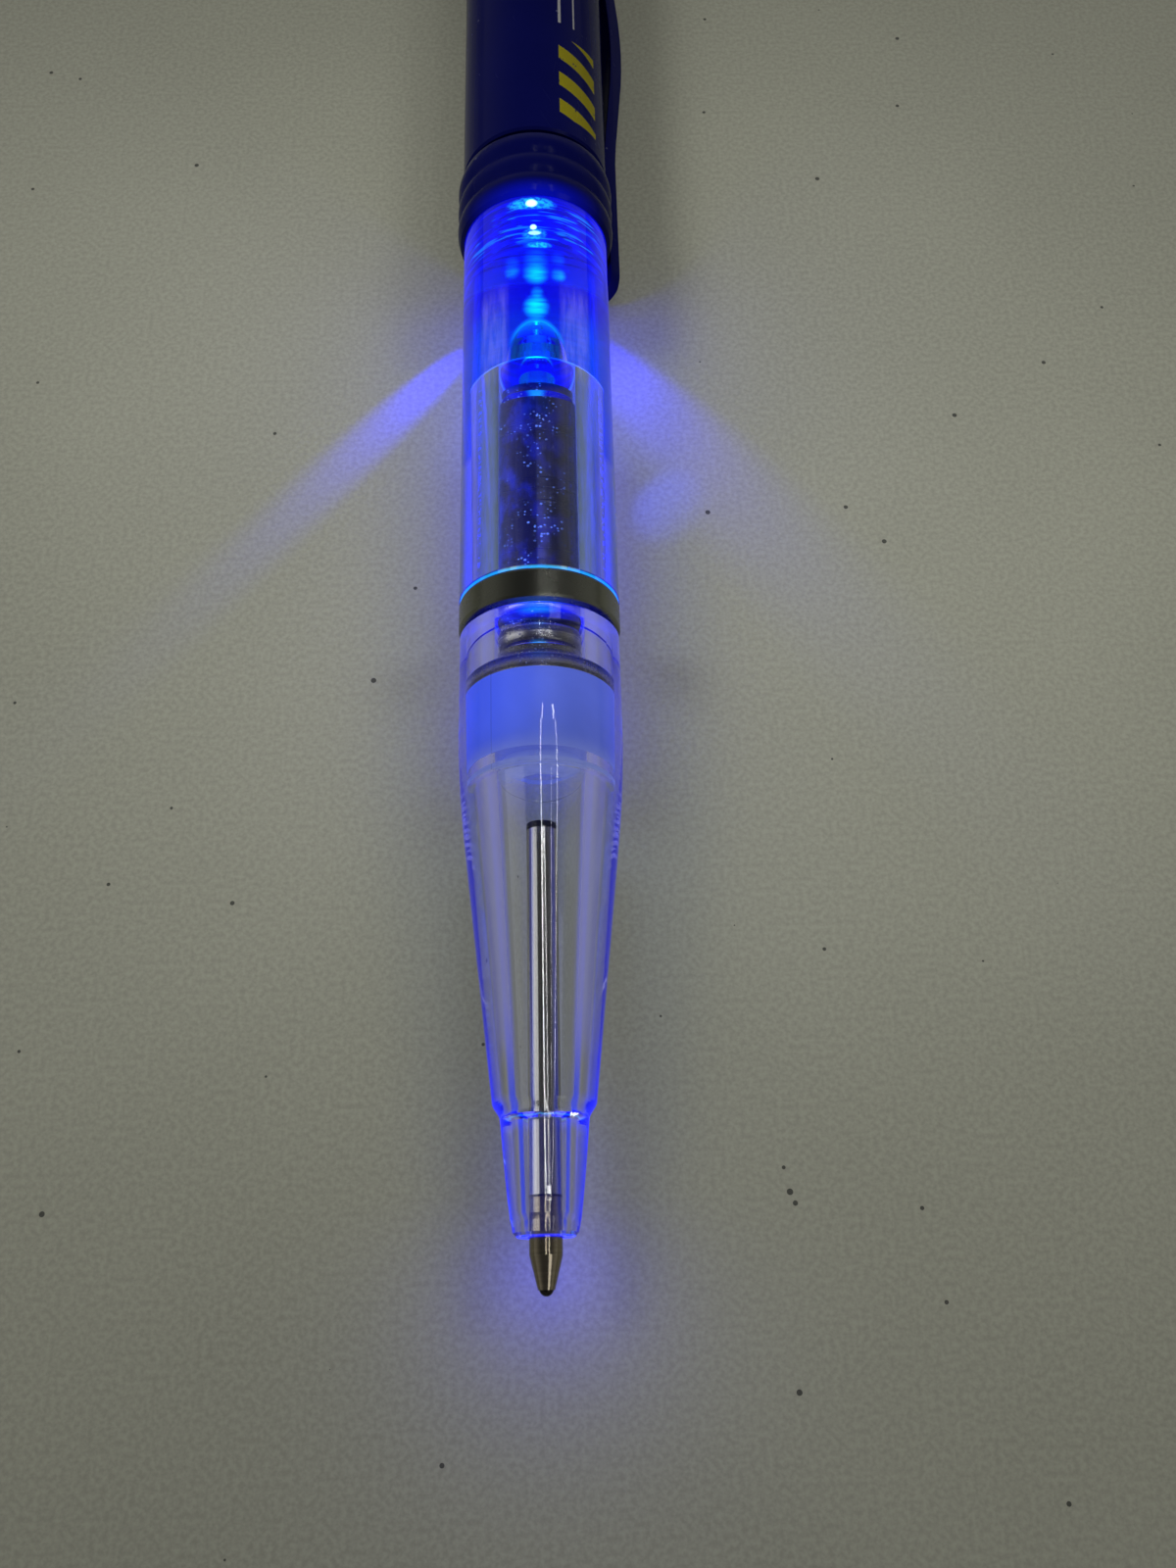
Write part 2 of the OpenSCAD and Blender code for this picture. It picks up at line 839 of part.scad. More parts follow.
// Button cell: can, and the narrower cap towards the tip
module cell(place) {
    from = cells_at + place * cell_len;
    to = from + cell_len - fit;
    color([0.74, 0.74, 0.74])
        lay()
            rotate_extrude()
                polygon([
                    [0, from],
                    [cell_cap_r, from],
                    [cell_cap_r, from + cell_cap_len],
                    [cell_r - 0.2, from + cell_cap_len],
                    [cell_r, from + cell_cap_len + 0.2],
                    [cell_r, to - 0.2],
                    [cell_r - 0.2, to],
                    [0, to]
                ]);
}

module battery_cell_front() {
    cell(0);
}

module battery_cell_middle() {
    cell(1);
}

module battery_cell_rear() {
    cell(2);
}

module switch_ring() {
    color([0.78, 0.62, 0.3])
        lay()
            tube(battery_sleeve_end, battery_sleeve_end + switch_ring_t, switch_ring_r, switch_hole_r);
}

module button_spring() {
    from = battery_sleeve_end + switch_ring_t + fit;
    color([0.7, 0.7, 0.72])
        lay()
            coil(4, from, button_flange_at - from - fit, 3.6);
}

// Button: stem through the switch, flange that stops at the end cap, and a domed head
module push_button() {
    crown = 0.9;
    corner = 1.0;
    head_r = button_r - corner;
    head_curve = concat(
        [
            for (turn = [0 : 15 : 75])
                [head_r + corner * cos(turn), button_end - crown - corner + corner * sin(turn)]
        ],
        [
            for (t = [0 : 1 / 6 : 1])
                [head_r * (1 - t), button_end - crown + crown * sin(90 * t)]
        ]
    );
    stem_at = contact_tip_at + contact_tip_t;
    flange_end = button_flange_at + button_flange_t;
    color([0.02, 0.02, 0.22])
        lay()
            rotate_extrude()
                polygon(concat(
                    [
                        [shank_r + fit, stem_at],
                        [button_stem_r, stem_at],
                        [button_stem_r, button_flange_at],
                        [button_flange_r, button_flange_at],
                        [button_flange_r, flange_end],
                        [button_r, flange_end]
                    ],
                    head_curve,
                    [[0, stem_at + shank_len + 0.1], [shank_r + fit, stem_at + shank_len + 0.1]]
                ));
}

module contact_tip() {
    color([0.78, 0.62, 0.3])
        lay()
            union() {
                rod(contact_tip_at, contact_tip_at + contact_tip_t, contact_tip_r);
                rod(contact_tip_at, contact_tip_at + contact_tip_t + shank_len, shank_r);
            }
}

grip_shell();
drive_sleeve();
twist_nose();
snap_ring();
refill_carrier();
follower_pin();
refill_tube();
refill_point();
writing_ball();
trim_ring();
light_guide();
twist_housing();
twist_cap();
cam_sleeve();
ribbed_collar();
barrel_shell();
clip();
end_cap();
lamp_holder();
lamp_lens();
lamp_leads();
lamp_chip();
front_contact();
contact_spring();
battery_sleeve();
contact_strip();
battery_cell_front();
battery_cell_middle();
battery_cell_rear();
switch_ring();
button_spring();
push_button();
contact_tip();
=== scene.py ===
import math

import bpy
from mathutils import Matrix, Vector


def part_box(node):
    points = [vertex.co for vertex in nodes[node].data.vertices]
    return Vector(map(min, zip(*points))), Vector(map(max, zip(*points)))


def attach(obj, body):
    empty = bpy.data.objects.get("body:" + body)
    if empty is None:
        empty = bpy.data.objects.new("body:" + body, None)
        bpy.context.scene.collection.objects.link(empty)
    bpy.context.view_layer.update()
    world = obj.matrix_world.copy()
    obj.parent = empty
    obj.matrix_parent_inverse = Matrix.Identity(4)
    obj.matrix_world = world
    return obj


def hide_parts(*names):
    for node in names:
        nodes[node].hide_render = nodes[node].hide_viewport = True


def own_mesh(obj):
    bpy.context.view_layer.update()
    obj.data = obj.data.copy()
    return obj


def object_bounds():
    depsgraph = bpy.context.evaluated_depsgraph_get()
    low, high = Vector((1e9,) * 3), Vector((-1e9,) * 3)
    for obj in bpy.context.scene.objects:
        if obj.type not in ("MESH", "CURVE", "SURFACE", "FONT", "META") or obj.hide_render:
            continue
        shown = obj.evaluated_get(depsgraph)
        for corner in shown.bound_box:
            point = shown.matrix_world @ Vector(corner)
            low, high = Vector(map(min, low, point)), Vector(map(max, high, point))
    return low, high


# Looks of a light-up twist pen. The pen lies along Y with its tip at -Y. Blender's sizes are in metres, and the
# finishes count in millimetres: a station along the pen from the nozzle's mouth, and a radius from its axis.
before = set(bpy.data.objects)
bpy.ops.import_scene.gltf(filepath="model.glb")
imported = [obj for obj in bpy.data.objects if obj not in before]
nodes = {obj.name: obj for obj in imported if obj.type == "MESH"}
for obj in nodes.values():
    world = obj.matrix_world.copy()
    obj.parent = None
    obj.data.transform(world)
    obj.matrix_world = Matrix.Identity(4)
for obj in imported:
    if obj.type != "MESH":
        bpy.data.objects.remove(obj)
cad_low, cad_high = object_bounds()

MM = 0.001

# Places, all read from the frame
grip_low, grip_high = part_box("grip_shell")
_, ring_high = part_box("trim_ring")
collar_low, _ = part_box("ribbed_collar")
barrel_low, barrel_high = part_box("barrel_shell")
_, housing_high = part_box("twist_housing")
sleeve_low, sleeve_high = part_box("drive_sleeve")
lens_low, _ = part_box("lamp_lens")
tube_low, tube_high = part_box("refill_tube")
button_spring_low, button_spring_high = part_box("button_spring")
contact_spring_low, contact_spring_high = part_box("contact_spring")

AXIS_X = (barrel_low.x + barrel_high.x) / 2
AXIS_Z = (barrel_low.z + barrel_high.z) / 2
MOUTH_Y = grip_low.y


def station(y):
    """Millimetres along the pen from the nozzle's mouth."""
    return (y - MOUTH_Y) / MM


TUBE_AT, TUBE_END_AT = station(tube_low.y), station(tube_high.y)
SLEEVE_AT, SLEEVE_END_AT = station(sleeve_low.y), station(sleeve_high.y)
GRIP_END_AT = station(grip_high.y)
RING_END_AT = station(ring_high.y)
HOUSING_END_AT = station(housing_high.y)
COLLAR_AT = station(collar_low.y)
LENS_TIP_AT = station(lens_low.y)
BARREL_AT = station(barrel_low.y)
BARREL_R = (barrel_high.x - barrel_low.x) / 2 / MM
SLEEVE_R = (sleeve_high.x - sleeve_low.x) / 2 / MM

# On the grip: the step behind the nozzle, and the shoulder over it
STEP_AT = (8.24, 8.3)
SHOULDER_AT, SHOULDER_R = (8.1, 8.7), (2.9, 4.2)

# The barrel's printed motif, round and along the barrel
BARS_AROUND, BARS_ALONG = (2.6, 7.0), (2.0, 12.2)
BAR_PITCH, BAR_SHARE, BAR_SLANT = 3.4, 0.5, 0.35
RULES_AROUND, RULES_ALONG = ((2.6, 2.85), (4.2, 4.35)), (14.0, 30.0)
PRINT_EDGE = 0.03

# Painted dotted lines of light on the guide's flanks, as their sides and their stations
DOTTED_LINES, DOTS_AT = ((-4.7, -4.6), (5.35, 5.45)), (51.0, 67.0)

# Inside the light guide: main bore, rounded recess above it, and threaded socket
BORE_R = 3.42
BORE_END_AT = 71.2
RECESS_R = 1.6
RECESS_CURVE_AT = 71.8
RECESS_TIP_AT = 76.6
SOCKET_AT = 82.8

# Painted bright spots of lamp light inside the guide: side, station, reach and brightness
LAMP_SPOTS = (
    (0.0, 78.2, 0.8, 3600.0),
    (0.05, 79.8, 0.42, 1500.0),
    (0.0, 82.1, 0.8, 3600.0),
    (-1.2, 82.3, 0.5, 1900.0),
    (1.15, 81.9, 0.5, 1700.0),
)

# Painted hot spots where the lamp shines out of the guide's top: side, station, half width, half length, and
# the brightness of a white core and of a speckled halo
LAMP_GLINTS = (
    (-0.15, 86.5, 0.6, 0.5, 2.4, 0.0),
    (-0.15, 86.5, 2.4, 0.8, 0.0, 0.9),
    (0.0, 83.75, 0.34, 0.36, 2.0, 0.0),
    (0.1, 83.1, 0.65, 0.28, 1.2, 0.0),
    (0.1, 83.0, 1.2, 0.75, 0.0, 0.7),
    (0.5, 81.75, 1.2, 0.4, 0.0, 0.9),
)

# Colours, as linear light
NAVY = (0.002, 0.003, 0.055, 1)
HANDLED_NAVY = (0.003, 0.004, 0.075, 1)
PALE_DUST = (0.2, 0.2, 0.28, 1)
DARK_DUST = (0.05, 0.05, 0.06, 1)
PRINT_YELLOW = (0.24, 0.21, 0.01, 1)
PRINT_WHITE = (0.3, 0.3, 0.3, 1)
LAMP_BLUE = (0.0, 0.006, 1.0, 1)
LAMP_CYAN = (0.01, 0.5, 1.0, 1)
LAMP_AQUA = (0.01, 0.9, 1.0, 1)
LAMP_WHITE = (0.45, 0.95, 1.0, 1)
BEAM_BLUE = (0.0, 0.03, 1.0)
# Colours of painted light on the pen: a line of light, glints on specks, a sheen, a glow on the grip's bore and
# a pale veil
LINE_BLUE = (0.02, 0.1, 1.0)
SPECK_GLINT_BLUE = (0.12, 0.25, 1.0)
SHEEN_BLUE = (0.01, 0.03, 1.0)
BORE_GLOW_BLUE = (0.06, 0.1, 0.5)
PALE_VEIL_GLOW = (0.05, 0.045, 0.04)
# Colours of the sleeve's painted glow: its right side, its deep left side, painted shade in its groove and its
# pale front; then its plain base colour
MILK_SHADE = (0.05, 0.09, 0.62, 1)
MILK_DEEP = (0.0, 0.05, 0.95, 1)
MILK_GROOVE_SHADE = (0.09, 0.13, 0.42, 1)
MILK_PALE = (0.3, 0.36, 0.85, 1)
MILK_UNLIT = (0.1, 0.13, 0.22, 1)
CLEAR = (0.955, 0.965, 0.985, 1)
CLEAR_SHADOW = (0.74, 0.78, 0.9, 1)
CLEAR_INDEX = 1.49
MILKY_INDEX = 1.46


# Short ways to build node trees


def feed(socket, source):
    """Gives a socket a plain value, or links the output that feeds it."""
    if isinstance(source, bpy.types.NodeSocket):
        socket.id_data.links.new(source, socket)
    else:
        socket.default_value = source


def maths(operation, a, b=0.0, clamp=False):
    """One step of arithmetic on outputs and plain values, in the tree of the first output."""
    output = a if isinstance(a, bpy.types.NodeSocket) else b
    node = output.id_data.nodes.new("ShaderNodeMath")
    node.operation = operation
    node.use_clamp = clamp
    feed(node.inputs[0], a)
    feed(node.inputs[1], b)
    return node.outputs[0]


def times(*values):
    """The product of several values."""
    product = values[0]
    for value in values[1:]:
        product = maths("MULTIPLY", product, value)
    return product


def plus(*values):
    """The sum of several values."""
    total = values[0]
    for value in values[1:]:
        total = maths("ADD", total, value)
    return total


def fade(value, low, high, start=0.0, end=1.0):
    """A smooth step from start, at value low, to end, at value high."""
    node = value.id_data.nodes.new("ShaderNodeMapRange")
    node.interpolation_type = "SMOOTHSTEP"
    for socket, source in zip(node.inputs[:5], (value, low, high, start, end)):
        feed(socket, source)
    return node.outputs[0]


def band(value, low, high, soft):
    """1 between low and high, falling to 0 over soft outside them."""
    return times(fade(value, low - soft, low), fade(value, high, high + soft, 1.0, 0.0))


def mixed(factor, a, b):
    """The colour a where the factor is 0, and b where it is 1."""
    node = factor.id_data.nodes.new("ShaderNodeMix")
    node.data_type = "RGBA"
    feed(node.inputs[0], factor)
    feed(node.inputs[6], a)
    feed(node.inputs[7], b)
    return node.outputs[2]


def mixed_value(factor, a, b):
    """The value a where the factor is 0, and b where it is 1."""
    return plus(a, times(factor, maths("SUBTRACT", b, a)))


def tinted(colour, amount):
    """A colour scaled by a mask."""
    node = amount.id_data.nodes.new("ShaderNodeVectorMath")
    node.operation = "SCALE"
    feed(node.inputs[0], colour[:3] if isinstance(colour, tuple) else colour)
    feed(node.inputs["Scale"], amount)
    return node.outputs[0]


def added(colours):
    """The sum of several colours."""
    total = colours[0]
    for colour in colours[1:]:
        node = total.id_data.nodes.new("ShaderNodeVectorMath")
        node.operation = "ADD"
        feed(node.inputs[0], total)
        feed(node.inputs[1], colour)
        total = node.outputs[0]
    return total


def new_group(name, inputs, outputs):
    """An empty shader group with number inputs, and its input and output nodes."""
    group = bpy.data.node_groups.new(name, "ShaderNodeTree")
    for socket, value in inputs.items():
        made = group.interface.new_socket(socket, in_out="INPUT", socket_type="NodeSocketFloat")
        made.default_value = value
    for socket in outputs:
        group.interface.new_socket(socket, in_out="OUTPUT", socket_type="NodeSocketFloat")
    return group, group.nodes.new("NodeGroupInput"), group.nodes.new("NodeGroupOutput")


def placed(tree, group, **values):
    """A group's node in a tree, with its own values."""
    node = tree.nodes.new("ShaderNodeGroup")
    node.node_tree = group
    for name, value in values.items():
        feed(node.inputs[name], value)
    return node


def object_place(tree):
    return tree.nodes.new("ShaderNodeTexCoord").outputs["Object"]


def stretched(tree, vector, scale):
    """Coordinates with a scale of their own along each axis."""
    node = tree.nodes.new("ShaderNodeMapping")
    feed(node.inputs["Vector"], vector)
    node.inputs["Scale"].default_value = scale
    return node.outputs[0]


def noise(tree, vector, scale, detail):
    node = tree.nodes.new("ShaderNodeTexNoise")
    feed(node.inputs["Vector"], vector)
    feed(node.inputs["Scale"], scale)
    node.inputs["Detail"].default_value = detail
    node.inputs["Roughness"].default_value = 0.55
    return node.outputs["Fac"]


def surface_noise(tree, scale, detail, stretch=None):
    """Noise over an object, drawn out along its axes if it has a stretch."""
    vector = object_place(tree)
    return noise(tree, stretched(tree, vector, stretch) if stretch else vector, scale, detail)


def mottle(tree, scale, detail, levels, amounts=(0.0, 1.0), stretch=None):
    """Noise over an object, faded from one amount to another between two of its levels."""
    return fade(surface_noise(tree, scale, detail, stretch), *levels, *amounts)


# Effects that several finishes share


def pen_place(tree):
    """Where a point is on the pen: radius, station, turn from the top in degrees, and side."""
    split = tree.nodes.new("ShaderNodeSeparateXYZ")
    tree.links.new(object_place(tree), split.inputs[0])
    side = maths("SUBTRACT", split.outputs[0], AXIS_X)
    height = maths("SUBTRACT", split.outputs[2], AXIS_Z)
    square = plus(times(side, side), times(height, height))
    radius = maths("DIVIDE", maths("SQRT", square), MM)
    along = maths("DIVIDE", maths("SUBTRACT", split.outputs[1], MOUTH_Y), MM)
    turn = maths("DEGREES", maths("ARCTAN2", side, height))
    return radius, along, turn, maths("DIVIDE", side, MM)


def make_pen_place():
    """The place of a point on the pen, for every finish."""
    group, _, sink = new_group("pen_place", {}, ["Radius", "Station", "Turn", "Side"])
    for socket, source in zip(sink.inputs, pen_place(group)):
        group.links.new(source, socket)
    return group


def make_dust():
    """Sparse specks: a few cells of a fine cell pattern hold one."""
    group, source, sink = new_group("dust_specks", {"Cells": 700.0, "Share": 0.1, "Size": 0.16}, ["Mask"])
    cells = group.nodes.new("ShaderNodeTexVoronoi")
    group.links.new(object_place(group), cells.inputs["Vector"])
    group.links.new(source.outputs["Cells"], cells.inputs["Scale"])
    pick = group.nodes.new("ShaderNodeSeparateColor")
    group.links.new(cells.outputs["Color"], pick.inputs[0])
    chosen = maths("LESS_THAN", pick.outputs[0], source.outputs["Share"])
    size = times(source.outputs["Size"], plus(pick.outputs[1], 0.35))
    near = maths("LESS_THAN", cells.outputs["Distance"], size)
    group.links.new(times(chosen, near), sink.inputs["Mask"])
    return group


def make_scratches():
    """Fine handling scratches that run mostly along the pen, in two slants."""
    group, source, sink = new_group("fine_scratches", {"Fineness": 1.0, "Share": 0.3}, ["Mask"])
    slants = []
    for tilt, stretch in ((0.18, (2600, 90, 2600)), (-0.5, (1900, 120, 1900))):
        turn = group.nodes.new("ShaderNodeMapping")
        group.links.new(object_place(group), turn.inputs["Vector"])
        turn.inputs["Rotation"].default_value = (0.0, 0.0, tilt)
        value = noise(group, stretched(group, turn.outputs[0], stretch), source.outputs["Fineness"], 1.0)
        slants.append(fade(value, 0.68, 0.74))
    lines = maths("MAXIMUM", *slants)
    group.links.new(times(lines, source.outputs["Share"]), sink.inputs["Mask"])
    return group


def make_smudges():
    """Broad, soft changes of gloss from handling."""
    group, source, sink = new_group("handling_smudges", {"Scale": 180.0}, ["Mask"])
    broad = noise(group, object_place(group), source.outputs["Scale"], 4.0)
    group.links.new(fade(broad, 0.35, 0.7), sink.inputs["Mask"])
    return group


def make_fine_lines(name, measure, lines, detail):
    """Fine lines from 0 to 1 that follow one of the pen's measures: its station or its turn."""
    group, source, sink = new_group(name, {"Lines": lines}, ["Height"])
    node = group.nodes.new("ShaderNodeTexNoise")
    node.noise_dimensions = "1D"
    value = placed(group, PEN_PLACE).outputs[measure]
    group.links.new(times(value, source.outputs["Lines"]), node.inputs["W"])
    node.inputs["Scale"].default_value = 1.0
    node.inputs["Detail"].default_value = detail
    group.links.new(node.outputs["Fac"], sink.inputs["Height"])
    return group


PEN_PLACE = make_pen_place()
DUST = make_dust()
SCRATCHES = make_scratches()
SMUDGES = make_smudges()
TURNED = make_fine_lines("turned_rings", "Station", 9.0, 2.0)
DRAWN = make_fine_lines("drawn_streaks", "Turn", 0.25, 3.0)


# Finishes


def new_material(name):
    material = bpy.data.materials.new(name)
    material.use_nodes = True
    tree = material.node_tree
    return material, tree, tree.nodes["Principled BSDF"]


def set_inputs(shader, **sources):
    """Plain values or outputs for a shader's sockets, by the socket's name with its spaces as underscores."""
    for name, source in sources.items():
        feed(shader.inputs[name.replace("_", " ")], source)


def bumped(shader, height, strength, distance):
    """Raises a shader's surface a little by a height from 0 to 1."""
    node = shader.id_data.nodes.new("ShaderNodeBump")
    set_inputs(node, Strength=strength, Distance=distance, Height=height)
    set_inputs(shader, Normal=node.outputs[0])


def glow_spot(place, stations, radii, soft):
    """A mask for the part of a surface between two stations and two radii."""
    along = band(place.outputs["Station"], *stations, soft)
    return times(along, band(place.outputs["Radius"], *radii, soft))


def lit_by_lamp(material, shader, glows):
    """Adds painted lamp light to a surface: glowing places, each a colour, a mask and an amount."""
    parts = [tinted(tuple(c * amount for c in colour), mask) for colour, mask, amount in glows]
    set_inputs(shader, Emission_Color=added(parts), Emission_Strength=1.0)
    material.cycles.emission_sampling = "NONE"


def tint(shader, mask, colour):
    """Colours a surface, or what is seen through a clear one, where a mask says so."""
    base = shader.inputs["Base Color"].links[0].from_socket
    set_inputs(shader, Base_Color=mixed(mask, base, colour))


def navy_plastic(name):
    """Glossy moulded plastic with fine scratches and dust, with painted blue lamp light at the front edge of
    the collar.
    """
    material, tree, shader = new_material(name)
    scratch = placed(tree, SCRATCHES, Fineness=1.0, Share=0.5).outputs[0]
    smudge = placed(tree, SMUDGES, Scale=160.0).outputs[0]
    dust = placed(tree, DUST, Cells=650.0, Share=0.07, Size=0.13).outputs[0]
    colour = mixed(times(smudge, 0.25), NAVY, HANDLED_NAVY)
    colour = mixed(times(dust, 0.35), colour, PALE_DUST)
    rough = plus(times(scratch, 0.22), times(smudge, 0.08), 0.13)
    set_inputs(shader, Base_Color=colour, Roughness=rough, IOR=1.5, Specular_IOR_Level=0.04)
    # Painted lamp light: a blue glow over the top of the collar's front edge
    place = placed(tree, PEN_PLACE)
    at_edge = fade(place.outputs["Station"], COLLAR_AT + 1.8, COLLAR_AT)
    painted_lamp_glow = times(at_edge, fade(maths("ABSOLUTE", place.outputs["Turn"]), 70.0, 0.0))
    lit_by_lamp(material, shader, [(LAMP_BLUE, painted_lamp_glow, 0.34)])
    bumped(shader, surface_noise(tree, 900.0, 2.0), 0.06, 0.05 * MM)
    return material


def printed_barrel():
    """The barrel's navy plastic with a plain printed motif: slanted yellow bars and two white rules."""
    material = navy_plastic("printed_navy_plastic")
    tree = material.node_tree
    shader = tree.nodes["Principled BSDF"]
    place = placed(tree, PEN_PLACE)
    around = times(maths("RADIANS", place.outputs["Turn"]), BARREL_R)
    along = maths("SUBTRACT", place.outputs["Station"], BARREL_AT)
    slant = plus(along, times(around, BAR_SLANT))
    bars = maths("FRACT", maths("DIVIDE", slant, BAR_PITCH))
    bars = maths("LESS_THAN", bars, BAR_SHARE)
    bars = times(bars, band(around, *BARS_AROUND, PRINT_EDGE))
    bars = times(bars, band(along, *BARS_ALONG, PRINT_EDGE))
    rules = [band(around, low, high, PRINT_EDGE) for low, high in RULES_AROUND]
    rules = maths("ADD", *rules, clamp=True)
    rules = times(rules, band(along, *RULES_ALONG, PRINT_EDGE))
    worn = mottle(tree, 2400.0, 3.0, (0.28, 0.36))
    tint(shader, times(bars, worn), PRINT_YELLOW)
    tint(shader, times(rules, worn), PRINT_WHITE)
    return material


def lets_lamps_in(tree, shader, colour):
    """Clear plastic that bends what is seen through it, and lets lamps and soft light straight through."""
    path = tree.nodes.new("ShaderNodeLightPath")
    straight = tree.nodes.new("ShaderNodeBsdfTransparent")
    straight.inputs["Color"].default_value = colour
    mix = tree.nodes.new("ShaderNodeMixShader")
    soft = maths("ADD", path.outputs["Is Shadow Ray"], path.outputs["Is Diffuse Ray"], clamp=True)
    tree.links.new(soft, mix.inputs[0])
    tree.links.new(shader.outputs[0], mix.inputs[1])
    tree.links.new(straight.outputs[0], mix.inputs[2])
    tree.links.new(mix.outputs[0], tree.nodes["Material Output"].inputs["Surface"])


def clear_plastic(name):
    """Clear moulded plastic with dust and fine scratches, ready for its glow."""
    material, tree, shader = new_material(name)
    dust = placed(tree, DUST, Cells=420.0, Share=0.05, Size=0.12).outputs[0]
    scratch = placed(tree, SCRATCHES, Fineness=0.8, Share=0.35).outputs[0]
    colour = mixed(dust, CLEAR, DARK_DUST)
    rough = plus(times(scratch, 0.12), 0.015)
    set_inputs(shader, Base_Color=colour, Roughness=rough, IOR=CLEAR_INDEX, Transmission_Weight=1.0)
    lets_lamps_in(tree, shader, CLEAR_SHADOW)
    return material, tree, shader, placed(tree, PEN_PLACE), rough


def clear_grip():
    """The grip's clear plastic: painted lamp light along its flanks, at its mouth, at the step behind the
    nozzle and at its rear lip, painted blue seen through its flanks, and a painted glow on its bore in front of
    the sleeve."""
    material, tree, shader, place, _ = clear_plastic("clear_grip_plastic")
    along, radius = place.outputs["Station"], place.outputs["Radius"]
    off_top = maths("ABSOLUTE", place.outputs["Turn"])
    # Painted blue and painted lamp light along the flanks, strongest towards the nozzle
    painted_flank_blue = times(
        fade(off_top, 42.0, 72.0),
        fade(off_top, 98.0, 86.0),
        fade(radius, 2.2, 2.5),
        fade(along, 9.0, 17.0, 1.0, 0.36),
    )
    tint(shader, painted_flank_blue, (0.06, 0.13, 1.0, 1))
    # Painted lamp light at the nozzle, the mouth, the step, the shoulder and the rear lip
    nozzle = fade(along, 9.0, 7.0)
    mouth = glow_spot(place, (-0.1, 0.06), (1.2, 2.6), 0.08)
    uneven = plus(along, times(surface_noise(tree, 1500.0, 2.0), 0.35))
    step = times(band(uneven, *STEP_AT, 0.05), fade(radius, 2.3, 2.1))
    shoulder = glow_spot(place, SHOULDER_AT, SHOULDER_R, 0.9)
    shoulder = times(shoulder, fade(off_top, 20.0, 75.0))
    lip = glow_spot(place, (GRIP_END_AT - 0.1, GRIP_END_AT + 0.2), (3.6, 6.4), 0.25)
    bore_lip = glow_spot(place, (GRIP_END_AT - 0.5, GRIP_END_AT), (3.4, 3.9), 0.2)
    lip_top = times(maths("MAXIMUM", lip, bore_lip), fade(off_top, 62.0, 12.0))
    crest = times(lip, fade(off_top, 26.0, 2.0))
    # A painted glow on the bore in front of the sleeve
    haze = times(
        fade(along, SLEEVE_AT - 5.5, SLEEVE_AT),
        fade(along, SLEEVE_AT + 0.3, SLEEVE_AT),
        fade(off_top, 62.0, 15.0),
        band(radius, 2.6, SLEEVE_R + 0.3, 0.2),
    )
    # All of these are painted lamp light on the clear plastic
    glows = [
        (LAMP_BLUE, painted_flank_blue, 0.42),
        (LAMP_BLUE, nozzle, 0.02),
        (LAMP_CYAN, step, 0.28),
        (LAMP_BLUE, shoulder, 0.35),
        (LAMP_BLUE, mouth, 0.9),
        (LAMP_BLUE, lip, 0.12),
        (LAMP_BLUE, lip_top, 0.5),
        (LAMP_CYAN, crest, 0.2),
        (BORE_GLOW_BLUE, haze, 0.25),
    ]
    lit_by_lamp(material, shader, glows)
    return material


def lamp_fill(tree):
    """Painted lamp light inside the guide's solid end, as a glowing volume: blue all through near the collar, a
    beam along the axis with bright spots in it, and a bright skin round the recess; and painted shade that
    takes red and green out of what is seen through the end, near the collar and round the socket. The amounts
    are per metre of clear plastic."""
    radius, along, _, side = pen_place(tree)
    square = maths("POWER", radius, 2.0)
    near_collar = fade(along, 80.0, 85.0)
    beam = times(fade(along, 75.5, 79.5), fade(radius, 2.8, 1.0))
    deep = maths("ADD", near_collar, beam, clamp=True)
    wall = fade(along, SOCKET_AT - 1.0, SOCKET_AT + 1.5)
    filled = plus(times(deep, 26.0), times(wall, 40.0))
    cloud = mottle(tree, 900.0, 3.0, (0.3, 0.7), (0.6, 1.3), (1.0, 0.35, 1.0))
    parts = [tinted(LAMP_BLUE, times(cloud, filled))]
    curve = RECESS_R / (RECESS_TIP_AT - RECESS_CURVE_AT)
    beyond = maths("MAXIMUM", maths("SUBTRACT", along, RECESS_CURVE_AT), 0.0)
    squashed = maths("POWER", times(beyond, curve), 2.0)
    reach = maths("SQRT", plus(square, squashed))
    skin = times(fade(reach, RECESS_R + 0.2, RECESS_R), fade(along, 73.8, 76.8))
    parts.append(tinted(LAMP_AQUA, times(skin, 900.0)))
    grain = mottle(tree, 2200.0, 2.0, (0.35, 0.6), (0.2, 1.2), (0.4, 2.0, 1.0))
    for spot_side, spot_at, spot_reach, amount in LAMP_SPOTS:
        ahead = times(maths("SUBTRACT", along, spot_at), 0.5)
        off = maths("SUBTRACT", square, times(side, 2.0 * spot_side))
        off = plus(off, spot_side ** 2, maths("POWER", ahead, 2.0))
        spot = times(fade(maths("SQRT", off), spot_reach, 0.1), grain, amount)
        parts.append(tinted(LAMP_AQUA, spot))
    light = tree.nodes.new("ShaderNodeEmission")
    tree.links.new(added(parts), light.inputs["Color"])
    light.inputs["Strength"].default_value = 1.0
    # Painted shade: an absorption that leaves only blue in what is seen through the end near the collar and
    # round the socket
    blue_shade_absorption = tree.nodes.new("ShaderNodeVolumeAbsorption")
    blue_shade_absorption.inputs["Color"].default_value = (0.0, 0.08, 1.0, 1)
    density = plus(times(near_collar, 320.0), times(wall, 1000.0))
    tree.links.new(density, blue_shade_absorption.inputs["Density"])
    both = tree.nodes.new("ShaderNodeAddShader")
    tree.links.new(blue_shade_absorption.outputs[0], both.inputs[0])
    tree.links.new(light.outputs[0], both.inputs[1])
    tree.links.new(both.outputs[0], tree.nodes["Material Output"].inputs["Volume"])


